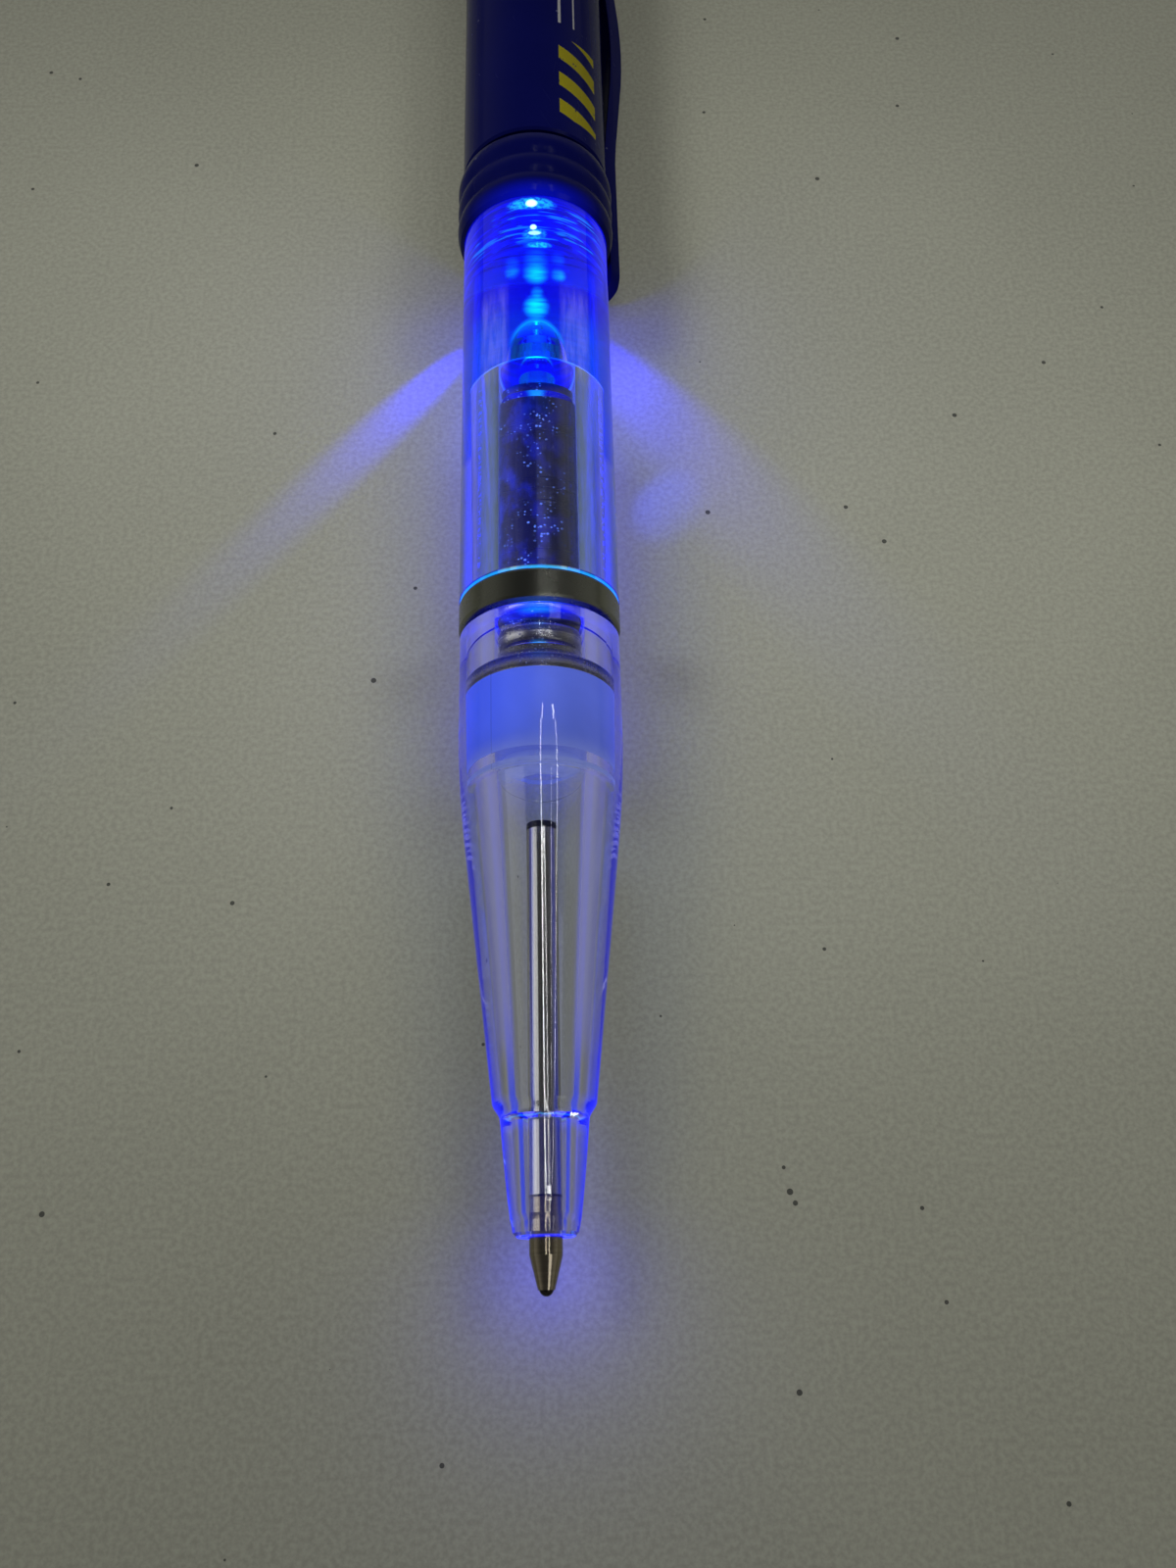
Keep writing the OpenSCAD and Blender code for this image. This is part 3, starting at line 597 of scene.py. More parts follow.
def lamp_glints(tree, place, on_top):
    """The painted hot spots where the lamp shines out of the guide's top, as glows."""
    speckle = mottle(tree, 3200.0, 2.0, (0.4, 0.6), (0.3, 1.2))
    glows = []
    for side, at, half_width, half_length, core, halo in LAMP_GLINTS:
        across = maths("SUBTRACT", place.outputs["Side"], side)
        across = maths("POWER", maths("DIVIDE", across, half_width), 2.0)
        ahead = maths("SUBTRACT", place.outputs["Station"], at)
        ahead = maths("POWER", maths("DIVIDE", ahead, half_length), 2.0)
        spot = times(on_top, fade(plus(across, ahead), 1.0, 0.2))
        if core:
            glows.append((LAMP_WHITE, spot, core))
        if halo:
            glows.append((LAMP_CYAN, times(spot, speckle), halo))
    return glows


def clear_guide():
    """The light guide's clear plastic: painted lamp light and painted blue at the lamp's end and along its
    flanks, painted glows and glints inside it and on its skin, painted shade at its socket, and frosted in its
    threaded socket."""
    material, tree, shader, place, rough = clear_plastic("clear_guide_plastic")
    along, radius, side = place.outputs["Station"], place.outputs["Radius"], place.outputs["Side"]
    off_top = maths("ABSOLUTE", place.outputs["Turn"])
    off_middle = maths("ABSOLUTE", side)
    outer = fade(radius, 6.2, 6.4)
    outer_top = times(outer, fade(off_top, 88.0, 80.0))
    streaks = mottle(tree, 2600.0, 3.0, (0.35, 0.7), (0.4, 1.4), (1.0, 0.12, 1.0))
    ripple = surface_noise(tree, 1300.0, 2.0, (0.22, 2.4, 0.22))

    # Painted lamp light inside: on the bore, the recess above it, and the socket
    wall = glow_spot(place, (RING_END_AT, BORE_END_AT), (BORE_R - 0.1, BORE_R + 0.1), 0.05)
    wall = times(wall, streaks, fade(off_middle, 1.9, 3.3))
    bore_end = glow_spot(place, (BORE_END_AT - 0.05, BORE_END_AT + 0.05), (-1.0, 2.2), 0.6)
    bore_edge = (BORE_END_AT - 0.1, BORE_END_AT + 0.1)
    bore_line = glow_spot(place, bore_edge, (BORE_R - 0.12, BORE_R + 0.12), 0.08)
    bore_glint = times(bore_line, fade(off_top, 14.0, 4.0))
    recess = times(fade(radius, 1.8, 1.65), fade(along, 70.5, 73.0))
    socket = glow_spot(place, (SOCKET_AT - 0.1, COLLAR_AT + 6.0), (3.6, 4.2), 0.15)
    arcs = times(socket, mottle(tree, 1500.0, 2.0, (0.5, 0.62), stretch=(0.16, 1.3, 0.16)))

    # Painted lamp light on the outer skin: the line at the ring, dotted lines, flames and a pale veil along the
    # flanks, lines over the socket's thread, the lamp's end
    ring_line = glow_spot(place, (RING_END_AT - 0.1, RING_END_AT + 0.1), (6.2, 6.7), 0.08)
    lines = plus(*(band(side, low, high, 0.14) for low, high in DOTTED_LINES))
    dots = times(lines, mottle(tree, 2600.0, 2.0, (0.5, 0.62)), band(along, *DOTS_AT, 1.5))
    dots = times(dots, outer_top)
    flame = times(outer, band(off_middle, 4.9, 5.2, 0.35), streaks)
    flame = times(flame, band(along, 70.0, 79.0, 3.0))
    veil = times(band(off_middle, 2.7, 4.2, 0.7), band(along, 69.5, 76.0, 2.5))
    veil = times(veil, streaks, outer_top)
    over_recess = times(fade(along, 65.8, 66.8), fade(off_middle, 3.0, 2.0), outer)
    end = times(fade(along, 77.0, 81.0), outer, fade(off_top, 110.0, 85.0))
    # Painted lines of light on the outer skin over the socket's thread
    painted_thread_lines = times(band(along, 82.4, 86.0, 0.6), fade(ripple, 0.56, 0.64))
    painted_thread_lines = times(painted_thread_lines, outer, fade(off_top, 70.0, 50.0))

    glows = [
        (LAMP_BLUE, end, 0.22),
        (LAMP_BLUE, over_recess, 0.1),
        (LAMP_CYAN, ring_line, 0.7),
        (LAMP_BLUE, socket, 0.08),
        (LAMP_BLUE, arcs, 0.7),
        (LINE_BLUE, bore_line, 1.3),
        (LAMP_WHITE, bore_glint, 1.6),
        (LAMP_BLUE, recess, 0.12),
        (LAMP_BLUE, wall, 0.22),
        (LAMP_BLUE, bore_end, 0.2),
        (LAMP_BLUE, flame, 0.35),
        (LAMP_CYAN, painted_thread_lines, 0.3),
        (PALE_VEIL_GLOW, veil, 1.0),
        (LAMP_BLUE, dots, 0.9),
    ]
    # Painted hot spots of the lamp over the top
    on_top = times(outer, fade(off_top, 80.0, 60.0))
    lit_by_lamp(material, shader, glows + lamp_glints(tree, place, on_top))

    # Painted shade and painted blue on what is seen through it: a painted dark shadow at the socket's edge,
    # blue rims, blue over the recess, and a blue end with two painted dark arcs
    # A painted dark shadow along the socket's edge, except over the top
    edge = glow_spot(place, (SOCKET_AT - 0.12, SOCKET_AT + 0.4), (3.85, 4.15), 0.08)
    tint(shader, times(edge, fade(off_top, 12.0, 26.0)), (0.0, 0.0, 0.02, 1))
    painted_blue_rim = fade(off_middle, 4.4, 6.2, 0.12, 0.8)
    tint(shader, times(painted_blue_rim, outer), (0.0, 0.22, 0.7, 1))
    tint(shader, over_recess, (0.0, 0.12, 0.65, 1))
    tint(shader, end, (0.0, 0.02, 0.4, 1))
    bow = times(maths("POWER", off_middle, 2.0), 0.035)
    bowed = maths("SUBTRACT", along, bow)
    painted_dark_arcs = plus(band(bowed, 80.6, 80.68, 0.1), band(bowed, 79.75, 79.85, 0.12))
    painted_dark_arcs = times(painted_dark_arcs, end, fade(ripple, 0.3, 0.5, 0.35, 0.9))
    tint(shader, painted_dark_arcs, (0.0, 0.0, 0.03, 1))
    set_inputs(shader, Roughness=plus(rough, times(socket, 0.2)))
    lamp_fill(tree)
    material.cycles.volume_step_rate = 0.04
    return material


def clear_thread():
    """Clear plastic of the socket's thread, with painted lamp light along its crest."""
    material, tree, shader, place, _ = clear_plastic("clear_thread_plastic")
    uneven = mottle(tree, 900.0, 2.0, (0.4, 0.65))
    crest = times(fade(place.outputs["Radius"], 3.95, 3.8), uneven)
    bright = maths("POWER", crest, 3.0)
    lit_by_lamp(material, shader, [(LAMP_BLUE, crest, 0.8), (LAMP_CYAN, bright, 0.7)])
    return material


def milky_sleeve():
    """Milky plastic with painted lamp light, as if lit from behind: its painted glow deepest at its rear and on
    its left, paler towards its front and shaded in its groove, and clearing down its front face."""
    material, tree, shader = new_material("milky_sleeve_plastic")
    place = placed(tree, PEN_PLACE)
    along, radius = place.outputs["Station"], place.outputs["Radius"]
    turn, side = place.outputs["Turn"], place.outputs["Side"]
    outer = fade(radius, SLEEVE_R - 0.8, SLEEVE_R - 0.65)
    front_face = fade(along, SLEEVE_AT + 0.28, SLEEVE_AT + 0.23)

    # Colour and painted glow: deepest on the left and towards the rear, paler at the front, with painted shade
    # in the groove
    hue = mixed(fade(side, 3.0, -3.8), MILK_SHADE, MILK_DEEP)
    hue = mixed(outer, MILK_GROOVE_SHADE, hue)
    pale = maths("MAXIMUM", front_face, fade(along, SLEEVE_AT + 3.0, SLEEVE_AT, 0.0, 0.7))
    hue = mixed(pale, hue, MILK_PALE)
    lit = fade(along, SLEEVE_AT - 4.0, SLEEVE_END_AT - 1.0, 0.3, 1.0)
    cloud = mottle(tree, 260.0, 3.0, (0.2, 0.8), (0.88, 1.0))
    seam = band(turn, -53.0, -52.6, 0.3)
    shade = maths("SUBTRACT", cloud, times(seam, 0.4))
    glow = tinted(hue, times(lit, shade))
    set_inputs(shader, Base_Color=tinted(MILK_UNLIT, shade), Emission_Color=glow, Emission_Strength=0.8)

    # How far it hides what is behind it
    ragged = mottle(tree, 420.0, 3.0, (0.3, 0.7))
    skin = fade(radius, SLEEVE_R - 0.3, SLEEVE_R - 0.1)
    sides = times(fade(maths("ABSOLUTE", side), 2.1, 3.0), skin)
    patchy = plus(along, times(ragged, 1.2))
    body = times(fade(patchy, SLEEVE_AT - 0.2, SLEEVE_AT + 1.6), outer)
    lift = times(maths("COSINE", maths("RADIANS", turn)), radius)
    frosted = fade(plus(lift, times(ragged, 2.4)), -0.8, 3.8, 0.0, 0.9)
    body = mixed_value(front_face, maths("MAXIMUM", sides, body), frosted)
    backfacing = tree.nodes.new("ShaderNodeNewGeometry").outputs["Backfacing"]
    seen = times(body, maths("SUBTRACT", 1.0, backfacing))
    behind = fade(along, SLEEVE_AT + 1.0, SLEEVE_AT + 4.4)
    set_inputs(shader, Alpha=maths("MAXIMUM", seen, behind), Roughness=0.4, IOR=MILKY_INDEX)
    material.cycles.emission_sampling = "NONE"
    return material


def carrier_plastic():
    """Thin, hazy plastic of the rod behind the refill: hardly seen through the grip."""
    material, tree, shader = new_material("carrier_plastic")
    haze = mottle(tree, 1500.0, 3.0, (0.3, 0.7), (0.03, 0.06), (1.0, 0.2, 1.0))
    colour = tinted((7.0, 7.4, 8.0, 1), haze)
    set_inputs(shader, Base_Color=colour, Alpha=haze, Roughness=0.35, IOR=MILKY_INDEX)
    return material


def dark_metal(name, colour, roughness, effect, lines, specks, glow):
    """Dark metal with streaks or turned rings; dust specks with painted glints of the lamp over the top and one
    side and along a painted line; a painted blue sheen round one side; and a painted lamp glow, with a glint on
    top, between two stations.
    """
    material, tree, shader = new_material(name)
    place = placed(tree, PEN_PLACE)
    turn = place.outputs["Turn"]
    off_top = maths("ABSOLUTE", turn)
    streak = placed(tree, effect, Lines=lines).outputs[0]
    rings = placed(tree, TURNED, Lines=5.0).outputs[0]
    dust = placed(tree, DUST, Cells=4600.0, Share=0.36, Size=0.36).outputs[0]
    dark = tuple(c * 0.4 for c in colour[:3]) + (1,)
    base = mixed(fade(streak, 0.35, 0.65), dark, colour)
    rough = plus(times(rings, 0.05), roughness, times(dust, 0.3))
    set_inputs(shader, Base_Color=base, Roughness=rough, Metallic=1.0)
    # Painted light: glints on the dust specks over the top and one side and along a painted line, and a painted
    # blue sheen round one side
    painted_glint_patch = times(mottle(tree, 420.0, 2.0, (0.44, 0.62)), fade(turn, 50.0, 0.0))
    line = times(band(turn, 3.0, 5.5, 2.0), 0.7)
    lit = times(dust, maths("ADD", painted_glint_patch, line, clamp=True), specks)
    haze = mottle(tree, 700.0, 4.0, (0.42, 0.66), (0.3, 1.6), (1.0, 0.5, 1.0))
    sheen = times(fade(turn, 50.0, -30.0), haze, specks)
    # A painted lamp glow in a groove between two stations, with a painted glint on top
    groove = band(place.outputs["Station"], *glow, 0.08)
    under = times(groove, fade(off_top, 75.0, 25.0))
    glint = times(groove, fade(off_top, 16.0, 3.0))
    glows = [
        (SPECK_GLINT_BLUE, lit, 1.0),
        (SHEEN_BLUE, sheen, 0.3),
        (LAMP_BLUE, under, 0.5),
        (LAMP_CYAN, glint, 0.6),
    ]
    lit_by_lamp(material, shader, glows)
    bumped(shader, rings, 0.05, 0.01 * MM)
    return material


def bright_metal(name, colour, roughness, effect, lines, dark_bands=()):
    """Plated or drawn metal with fine lines, and darker between the stations of any dark bands."""
    material, tree, shader = new_material(name)
    height = placed(tree, effect, Lines=lines).outputs[0]
    smudge = placed(tree, SMUDGES, Scale=420.0).outputs[0]
    base = tinted(colour, fade(height, 0.3, 0.7, 0.82, 1.0))
    along = placed(tree, PEN_PLACE).outputs["Station"] if dark_bands else None
    for low, high in dark_bands:
        base = mixed(band(along, low, high, 0.03), base, (0.02, 0.02, 0.02, 1))
    rough = plus(times(height, 0.06), times(smudge, 0.06), roughness)
    set_inputs(shader, Base_Color=base, Roughness=rough, Metallic=1.0)
    bumped(shader, height, 0.05, 0.01 * MM)
    return material


def inner_plastic(name, colour, roughness):
    """Plain moulded plastic for pieces inside the pen, with a fine grain."""
    material, tree, shader = new_material(name)
    grain = surface_noise(tree, 1200.0, 3.0)
    smudge = placed(tree, SMUDGES, Scale=300.0).outputs[0]
    base = tinted(colour, fade(smudge, 0.0, 1.0, 0.86, 1.0))
    rough = fade(grain, 0.2, 0.8, roughness - 0.06, roughness + 0.06)
    set_inputs(shader, Base_Color=base, Roughness=rough)
    bumped(shader, grain, 0.1, 0.03 * MM)
    return material


def lamp_resin():
    """Hazy bulb resin with a painted hot spot on top of its dome and one at its tip."""
    material, tree, shader = new_material("lamp_resin")
    place = placed(tree, PEN_PLACE)
    along = place.outputs["Station"]
    haze = mottle(tree, 900.0, 2.0, (0.3, 0.7), (0.6, 1.0))
    rough = fade(haze, 0.6, 1.0, 0.34, 0.24)
    set_inputs(shader, Base_Color=(0.6, 0.8, 1.0, 1), Roughness=rough, IOR=1.52, Transmission_Weight=1.0)
    off_top = maths("ABSOLUTE", place.outputs["Turn"])
    dome = band(along, LENS_TIP_AT + 1.7, LENS_TIP_AT + 2.5, 0.5)
    crown = times(dome, fade(off_top, 24.0, 6.0))
    tip = fade(along, LENS_TIP_AT + 0.35, LENS_TIP_AT + 0.05)
    lit_by_lamp(material, shader, [(LAMP_BLUE, haze, 0.12), (LAMP_WHITE, crown, 3.0), (LAMP_WHITE, tip, 2.0)])
    lets_lamps_in(tree, shader, (0.8, 0.85, 0.95, 1))
    return material


def lamp_light():
    """The lit chip, brightest at its middle."""
    material, tree, shader = new_material("lamp_light")
    core = fade(placed(tree, PEN_PLACE).outputs["Radius"], 0.45, 0.05)
    colour = mixed(core, (0.02, 0.04, 0.3, 1), (0.7, 0.8, 0.9, 1))
    glow = tinted(LAMP_WHITE, core)
    set_inputs(shader, Base_Color=colour, Roughness=0.4, Emission_Color=glow, Emission_Strength=14.0)
    return material


# Finishes of the CAD pieces


def dress(material, *names):
    """Gives CAD nodes a finish."""
    for name in names:
        nodes[name].data.materials.clear()
        nodes[name].data.materials.append(material)


STEEL = bright_metal("spring_steel", (0.62, 0.62, 0.63, 1), 0.22, TURNED, 3.0)
BRASS = bright_metal("contact_brass", (0.7, 0.5, 0.2, 1), 0.25, TURNED, 2.0)
NICKEL = bright_metal("cell_nickel", (0.6, 0.6, 0.58, 1), 0.2, TURNED, 6.0)
NAVY_PLASTIC = navy_plastic("navy_plastic")
# Stations of the painted lamp glow in a groove of each dark metal
CAP_GROOVE = (HOUSING_END_AT, HOUSING_END_AT + 0.6)
HOUSING_METAL = dark_metal("dark_housing_metal", (0.13, 0.13, 0.135, 1), 0.26, DRAWN, 0.05, 1.0, CAP_GROOVE)
NOSE_GROOVE = (SLEEVE_END_AT + 2.2, SLEEVE_END_AT + 2.45)
NOSE_METAL = dark_metal("dark_nose_metal", (0.4, 0.39, 0.37, 1), 0.24, TURNED, 2.0, 0.12, NOSE_GROOVE)
TUBE_BANDS = ((TUBE_AT, TUBE_AT + 0.14), (TUBE_END_AT - 0.5, TUBE_END_AT))
TUBE_METAL = bright_metal("drawn_refill_metal", (0.5, 0.49, 0.46, 1), 0.08, DRAWN, 0.12, TUBE_BANDS)

dress(NAVY_PLASTIC, "ribbed_collar", "clip", "end_cap", "push_button")
dress(printed_barrel(), "barrel_shell")
dress(clear_grip(), "grip_shell")
dress(clear_guide(), "light_guide")
dress(HOUSING_METAL, "twist_housing", "twist_cap")
dress(bright_metal("cam_bronze", (0.5, 0.42, 0.28, 1), 0.3, TURNED, 5.0), "cam_sleeve")
dress(bright_metal("plated_ring", (0.2, 0.205, 0.175, 1), 0.2, DRAWN, 0.03), "trim_ring")
dress(TUBE_METAL, "refill_tube")
dress(bright_metal("turned_point_metal", (0.36, 0.31, 0.23, 1), 0.08, TURNED, 4.0), "refill_point")
dress(bright_metal("carbide_ball", (0.04, 0.035, 0.035, 1), 0.2, TURNED, 12.0), "writing_ball")
dress(carrier_plastic(), "refill_carrier")
dress(STEEL, "snap_ring", "follower_pin", "lamp_leads")
dress(BRASS, "front_contact", "contact_strip", "switch_ring", "contact_tip")
dress(NICKEL, "battery_cell_front", "battery_cell_middle", "battery_cell_rear")
dress(inner_plastic("holder_plastic", (0.1, 0.1, 0.11, 1), 0.45), "lamp_holder")
dress(inner_plastic("insulator_plastic", (0.05, 0.05, 0.06, 1), 0.5), "battery_sleeve")
dress(lamp_resin(), "lamp_lens")
dress(lamp_light(), "lamp_chip")


# Pieces modelled here

SMOOTH_ANGLE = math.radians(35.0)
BEDDED_FROM, BEDDED_R = SLEEVE_R - 0.1, SLEEVE_R + 0.07
SPRING_WIRE_R, SPRING_WIRE_SIDES = 0.25 * MM, 10
THREAD_START = MOUTH_Y + (SOCKET_AT + 0.7) * MM
THREAD_R, THREAD_RIDGE_R, THREAD_SIDES = 3.88 * MM, 0.15 * MM, 6
THREAD_PITCH, THREAD_TURNS = 0.9 * MM, 5
WINDING_STEPS = 36


def select_only(obj):
    bpy.ops.object.select_all(action="DESELECT")
    obj.select_set(True)
    bpy.context.view_layer.objects.active = obj


def finish_piece(obj, body, material, node=None):
    """Smooths a piece, gives it its finish, and puts it on its body in place of a CAD node if it has one."""
    select_only(obj)
    bpy.ops.object.shade_smooth_by_angle(angle=SMOOTH_ANGLE)
    obj.data.materials.clear()
    obj.data.materials.append(material)
    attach(obj, body)
    if node:
        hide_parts(node)


def copy_of(node, name):
    """A copy of a CAD node's mesh with its loose triangles joined."""
    piece = bpy.data.objects.new(name, nodes[node].data.copy())
    piece.data.name = name
    bpy.context.scene.collection.objects.link(piece)
    select_only(piece)
    bpy.ops.object.mode_set(mode="EDIT")
    bpy.ops.mesh.select_all(action="SELECT")
    bpy.ops.mesh.remove_doubles(threshold=0.001 * MM)
    bpy.ops.mesh.customdata_custom_splitnormals_clear()
    bpy.ops.object.mode_set(mode="OBJECT")
    return piece


def soften_clip():
    """The clip with its moulded edges rounded."""
    piece = copy_of("clip", "moulded_clip")
    bpy.ops.object.mode_set(mode="EDIT")
    bpy.ops.mesh.select_all(action="SELECT")
    bpy.ops.mesh.dissolve_limited(angle_limit=math.radians(2.0))
    bpy.ops.object.mode_set(mode="OBJECT")
    round_off = piece.modifiers.new("rounded_edges", "BEVEL")
    round_off.width = 0.22 * MM
    round_off.segments = 3
    round_off.limit_method = "ANGLE"
    round_off.angle_limit = math.radians(40.0)
    bpy.ops.object.modifier_apply(modifier=round_off.name)
    finish_piece(piece, "pen_body", NAVY_PLASTIC, "clip")


def axis_distance(point):
    return math.hypot(point.x - AXIS_X, point.z - AXIS_Z) / MM


def bed_in_grip(piece):
    """Grows the outer skin of a piece into the grip's bore. With no air between them, the clear wall shows the
    piece at its own full width."""
    select_only(piece)
    bpy.ops.object.mode_set(mode="EDIT")
    bpy.ops.mesh.select_mode(type="VERT")
    bpy.ops.mesh.select_all(action="DESELECT")
    bpy.ops.object.mode_set(mode="OBJECT")
    reach = max(axis_distance(vertex.co) for vertex in piece.data.vertices)
    for vertex in piece.data.vertices:
        vertex.select = axis_distance(vertex.co) > BEDDED_FROM
    bpy.ops.object.mode_set(mode="EDIT")
    grow = BEDDED_R / reach
    bpy.ops.transform.resize(value=(grow, 1.0, grow), center_override=(AXIS_X, 0.0, AXIS_Z))
    bpy.ops.object.mode_set(mode="OBJECT")


def wound(name, mean_r, section_r, sides, start, rise, turns):
    """A wire or ridge with a section of so many sides, wound about the pen's axis from a Y of the frame."""
    bpy.ops.object.select_all(action="DESELECT")
    bpy.ops.mesh.primitive_circle_add(vertices=sides, radius=section_r, location=(AXIS_X, start, AXIS_Z))
    piece = bpy.context.object
    piece.name = name
    piece.data.name = name
    bpy.ops.object.mode_set(mode="EDIT")
    bpy.ops.mesh.select_all(action="SELECT")
    bpy.ops.transform.translate(value=(mean_r, 0.0, 0.0))
    bpy.ops.object.mode_set(mode="OBJECT")
    screw = piece.modifiers.new("winding", "SCREW")
    screw.axis = "Y"
    screw.angle = math.tau
    screw.screw_offset = rise
    screw.iterations = turns
    screw.steps = WINDING_STEPS
    screw.render_steps = WINDING_STEPS
    bpy.ops.object.modifier_apply(modifier=screw.name)
    bpy.ops.object.mode_set(mode="EDIT")
    bpy.ops.mesh.select_all(action="DESELECT")
    bpy.ops.mesh.select_non_manifold()
    bpy.ops.mesh.fill_holes(sides=0)
    bpy.ops.mesh.select_all(action="SELECT")
    bpy.ops.mesh.normals_make_consistent(inside=False)
    bpy.ops.object.mode_set(mode="OBJECT")
    bpy.ops.object.transform_apply(location=True, rotation=True, scale=True)
    return piece


def wind_spring(name, node, low, high, mean_r, turns):
    """A coil of steel wire in place of a CAD spring, between the ends of its box."""
    rise = (high.y - low.y - 2 * SPRING_WIRE_R) / turns
    coil = wound(name, mean_r, SPRING_WIRE_R, SPRING_WIRE_SIDES, low.y + SPRING_WIRE_R, rise, turns)
    finish_piece(coil, "pen_body", STEEL, node)
    return coil


soften_clip()

sleeve = copy_of("drive_sleeve", "milky_drive_sleeve")
bed_in_grip(sleeve)
finish_piece(sleeve, "grip", milky_sleeve(), "drive_sleeve")
nose = copy_of("twist_nose", "flanged_nose")
bed_in_grip(nose)
finish_piece(nose, "grip", NOSE_METAL, "twist_nose")

thread = wound(
    "socket_thread", THREAD_R, THREAD_RIDGE_R, THREAD_SIDES, THREAD_START, THREAD_PITCH, THREAD_TURNS
)
finish_piece(thread, "pen_body", clear_thread())

button_coil = wind_spring(
    "button_spring_coil", "button_spring", button_spring_low, button_spring_high, mean_r=3.6 * MM, turns=4
)
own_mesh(button_coil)
wind_spring(
    "contact_spring_coil", "contact_spring", contact_spring_low, contact_spring_high, mean_r=2.4 * MM, turns=3
)


# Floor, light and camera

# Soft light from either side, brightest round the pen's middle: name, place, target and power
POOL_ANGLE, POOL_SOFT = 34.0, 0.05
POOLS = (
    ("left_pool", (-0.18, 0.03, 0.24), (0.0, 0.004, 0.0), 1.25),
    ("right_pool", (0.18, 0.03, 0.24), (0.01, -0.012, 0.0), 0.95),
)

# Light from the underside of the clear plastic: name, front and rear as a station and a height, power and width
LEAKS = (
    ("grip_leak", (6.0, 0.9), (26.0, 0.9), 0.00018, 1.2),
    ("nozzle_glow", (0.5, 5.0), (8.0, 5.0), 0.00025, 4.0),
    ("guide_leak", (50.0, 0.9), (72.0, 0.9), 0.0007, 1.2),
    ("grip_glow", (37.5, 5.4), (46.0, 5.4), 0.0026, 9.0),
    ("guide_glow", (50.0, 5.4), (77.0, 5.4), 0.0048, 11.0),
    ("tip_glow", (-1.6, 7.0), (-0.2, 5.2), 0.001, 3.0),
)

# Beams on the floor: name, start as a side, a station and a height above the axis, target as X and Y in
# millimetres, height of the fan in degrees, its width against its height, and power
BEAMS = (
    ("left_beam", (0.0, 90.4, 0.0), (-13.0, 6.0), 32.0, 0.42, 0.24),
    ("left_tail", (0.0, 90.4, 0.0), (-38.0, -22.0), 12.0, 1.0, 0.024),
    ("right_beam", (0.0, 90.4, 0.0), (9.0, 6.0), 42.0, 0.6, 0.14),
    ("right_spot", (4.6, 68.0, 2.0), (10.3, -6.1), 26.0, 1.9, 0.009),
)


def make_floor():
    """A plain pale floor of fibrous paper with specks of dust."""
    bpy.ops.object.select_all(action="DESELECT")
    bpy.ops.mesh.primitive_plane_add(size=3.0, location=(0, 0, 0))
    floor = bpy.context.object
    floor.name = "floor"
    material, tree, shader = new_material("pale_floor")
    fibre = surface_noise(tree, 2400.0, 3.0)
    broad = mottle(tree, 14.0, 3.0, (0.3, 0.7), (-0.05, 0.05))
    tone = plus(fade(fibre, 0.25, 0.75, 0.84, 1.06), broad)
    paper = tinted((0.36, 0.365, 0.29, 1), tone)
    dust = times(placed(tree, DUST, Cells=300.0, Share=0.5, Size=0.055).outputs[0], 0.85)
    colour = mixed(dust, paper, (0.03, 0.03, 0.03, 1))
    set_inputs(shader, Base_Color=colour, Roughness=0.85, Specular_IOR_Level=0.2)
    bumped(shader, fibre, 0.15, 0.1 * MM)
    floor.data.materials.append(material)


def make_world():
    """Soft light all round, with a pale backdrop wherever the camera, gloss or glass looks past the floor."""
    world = bpy.data.worlds.new("studio")
    world.use_nodes = True
    bpy.context.scene.world = world
    tree = world.node_tree
    path = tree.nodes.new("ShaderNodeLightPath")
    seen = maths("ADD", path.outputs["Is Camera Ray"], path.outputs["Is Glossy Ray"])
    seen = maths("ADD", seen, path.outputs["Is Transmission Ray"], clamp=True)
    lit = tree.nodes["Background"]
    lit.inputs["Color"].default_value = (1.0, 0.985, 0.96, 1)
    lit.inputs["Strength"].default_value = 0.14
    split = tree.nodes.new("ShaderNodeSeparateXYZ")
    tree.links.new(tree.nodes.new("ShaderNodeTexCoord").outputs["Generated"], split.inputs[0])
    overhead = fade(split.outputs[2], 0.2, 0.85)
    backdrop = tree.nodes.new("ShaderNodeBackground")
    wall = mixed(overhead, (0.24, 0.24, 0.22, 1), (0.06, 0.06, 0.06, 1))
    tree.links.new(wall, backdrop.inputs["Color"])
    backdrop.inputs["Strength"].default_value = 1.0
    mix = tree.nodes.new("ShaderNodeMixShader")
    tree.links.new(seen, mix.inputs[0])
    tree.links.new(lit.outputs[0], mix.inputs[1])
    tree.links.new(backdrop.outputs[0], mix.inputs[2])
    tree.links.new(mix.outputs[0], tree.nodes["World Output"].inputs["Surface"])


def aim(obj, target):
    obj.rotation_euler = (Vector(target) - obj.location).to_track_quat("-Z", "Y").to_euler()


def unseen(lamp):
    """Leaves a lamp's light in the scene, and takes the lamp itself out of every view."""
    lamp.visible_camera = False
    lamp.visible_glossy = False
    lamp.visible_transmission = False
    return lamp


def add_light(name, kind, place, power, colour=(1, 1, 1), **settings):
    light = bpy.data.lights.new(name, kind)
    light.energy = power
    light.color = colour
    for key, value in settings.items():
        setattr(light, key, value)
    obj = bpy.data.objects.new(name, light)
    obj.location = place
    bpy.context.scene.collection.objects.link(obj)
    return obj


def add_panel(name, place, target, power, width, height):
    """A flat studio light."""
    panel = add_light(name, "AREA", place, power, shape="RECTANGLE", size=width, size_y=height)
    aim(panel, target)
    return panel


def add_spot(name, place, target, power, angle, soft, colour=(1, 1, 1)):
    """A spot light of some angle with soft edges, out of view itself."""
    spot = unseen(add_light(name, "SPOT", place, power, colour, shadow_soft_size=soft))
    spot.data.spot_size = math.radians(angle)
    spot.data.spot_blend = 1.0
    aim(spot, target)
    return spot


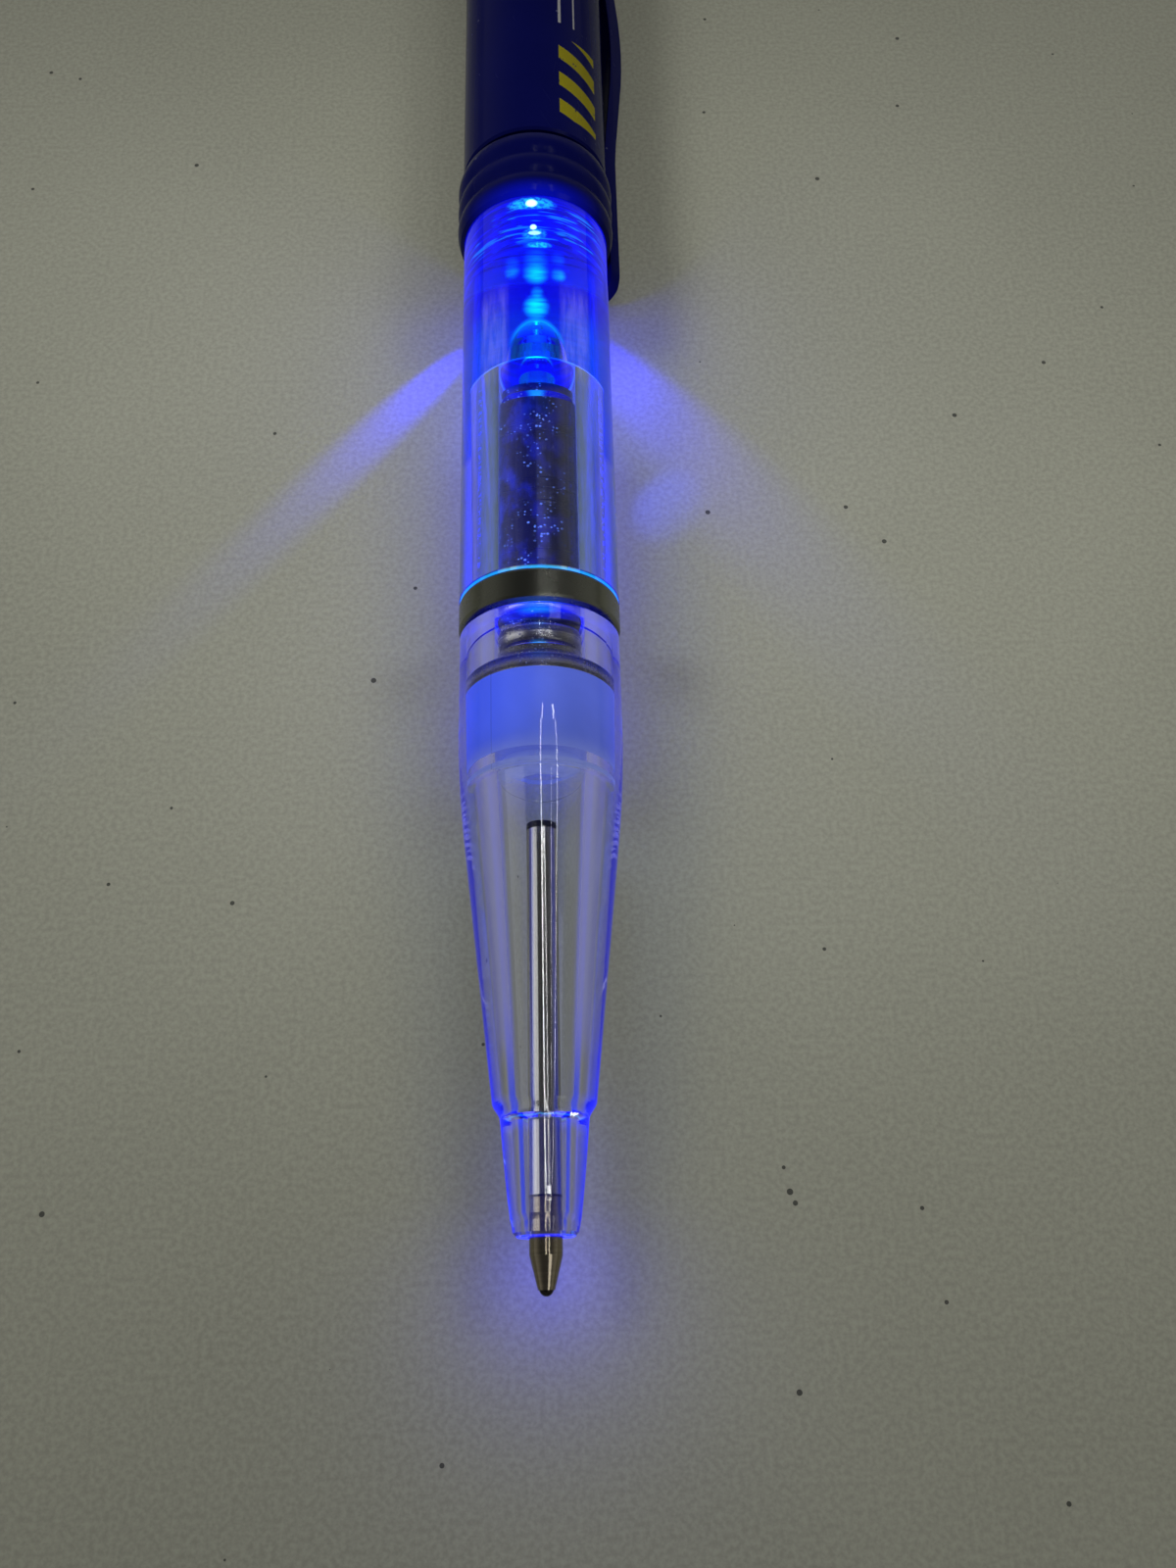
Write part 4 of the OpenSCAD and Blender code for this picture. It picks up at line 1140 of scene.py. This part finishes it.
def add_leak(name, front, rear, power, width):
    """Lamp light that leaves the underside of the clear plastic."""
    (front_at, front_z), (rear_at, rear_z) = front, rear
    middle = (AXIS_X, MOUTH_Y + (front_at + rear_at) / 2 * MM, (front_z + rear_z) / 2 * MM)
    length = math.hypot(rear_at - front_at, rear_z - front_z)
    settings = {"shape": "RECTANGLE", "size": width * MM, "size_y": length * MM}
    leak = unseen(add_light(name, "AREA", middle, power, LAMP_BLUE[:3], **settings))
    leak.rotation_euler = (math.atan2(rear_z - front_z, rear_at - front_at), 0.0, 0.0)


def add_beam(name, start, target, angle, spread, power):
    """A fan of lamp light out of the pen's side."""
    side, at, height = start
    place = (AXIS_X + side * MM, MOUTH_Y + at * MM, AXIS_Z + height * MM)
    beam = add_spot(name, place, (target[0] * MM, target[1] * MM, 0.0), power, angle, 0.5 * MM, BEAM_BLUE)
    beam.scale = (spread, 1.0, 1.0)


def make_frame_light():
    """A lit frame overhead, a little to the right: it shows as thin lines along the clear plastic."""
    middle = (0.11, 0.0275, 0.5)
    width, length, corner_r, border = 0.21, 0.335, 0.07, 0.008
    bpy.ops.object.select_all(action="DESELECT")
    bpy.ops.mesh.primitive_plane_add(size=1.0, location=middle)
    lamp = bpy.context.object
    lamp.name = "frame_light"
    bpy.ops.object.mode_set(mode="EDIT")
    bpy.ops.mesh.select_all(action="SELECT")
    bpy.ops.transform.resize(value=(width, length, 1.0), center_override=middle)
    bpy.ops.mesh.bevel(affect="VERTICES", offset=corner_r, segments=6)
    bpy.ops.mesh.select_all(action="SELECT")
    bpy.ops.mesh.inset(thickness=border)
    bpy.ops.mesh.delete(type="FACE")
    bpy.ops.object.mode_set(mode="OBJECT")
    material, tree, shader = new_material("frame_light_face")
    tree.nodes.remove(shader)
    face = tree.nodes.new("ShaderNodeEmission")
    face.inputs["Strength"].default_value = 14.0
    tree.links.new(face.outputs[0], tree.nodes["Material Output"].inputs["Surface"])
    lamp.data.materials.append(material)


def make_lights():
    """Studio lights, then the pen's own lamp and the light that it sheds."""
    make_frame_light()
    softbox = add_panel("side_softbox", (-0.46, 0.04, 0.3), (0, 0, 0), 0.5, 0.35, 0.44)
    softbox.visible_glossy = False
    add_panel("front_strip", (0.3, -0.33, 0.42), (0, -0.07, 0), 0.16, 0.12, 0.3)
    for name, place, target, power in POOLS:
        add_spot(name, place, target, power, POOL_ANGLE, POOL_SOFT)
    lamp_place = (AXIS_X, lens_low.y - 6.0 * MM, AXIS_Z)
    unseen(add_light("pen_lamp", "POINT", lamp_place, 0.005, BEAM_BLUE, shadow_soft_size=1.0 * MM))
    for leak in LEAKS:
        add_leak(*leak)
    for beam in BEAMS:
        add_beam(*beam)


def make_camera():
    """The photograph's view: over the tip, looking down along the pen."""
    down, turned = 67.6, -1.3
    camera = bpy.data.cameras.new("photo_camera")
    camera.sensor_fit = "AUTO"
    camera.sensor_width = 36.0
    camera.lens = 31.5
    camera.clip_start = 0.002
    obj = bpy.data.objects.new("photo_camera", camera)
    obj.location = (1.84 * MM, cad_low.y - 3.37 * MM, AXIS_Z + 99.05 * MM)
    obj.rotation_euler = (math.radians(90.0 - down), 0.0, math.radians(turned))
    bpy.context.scene.collection.objects.link(obj)
    bpy.context.scene.camera = obj


make_floor()
make_world()
make_lights()
make_camera()
bpy.context.scene.view_settings.view_transform = "Standard"
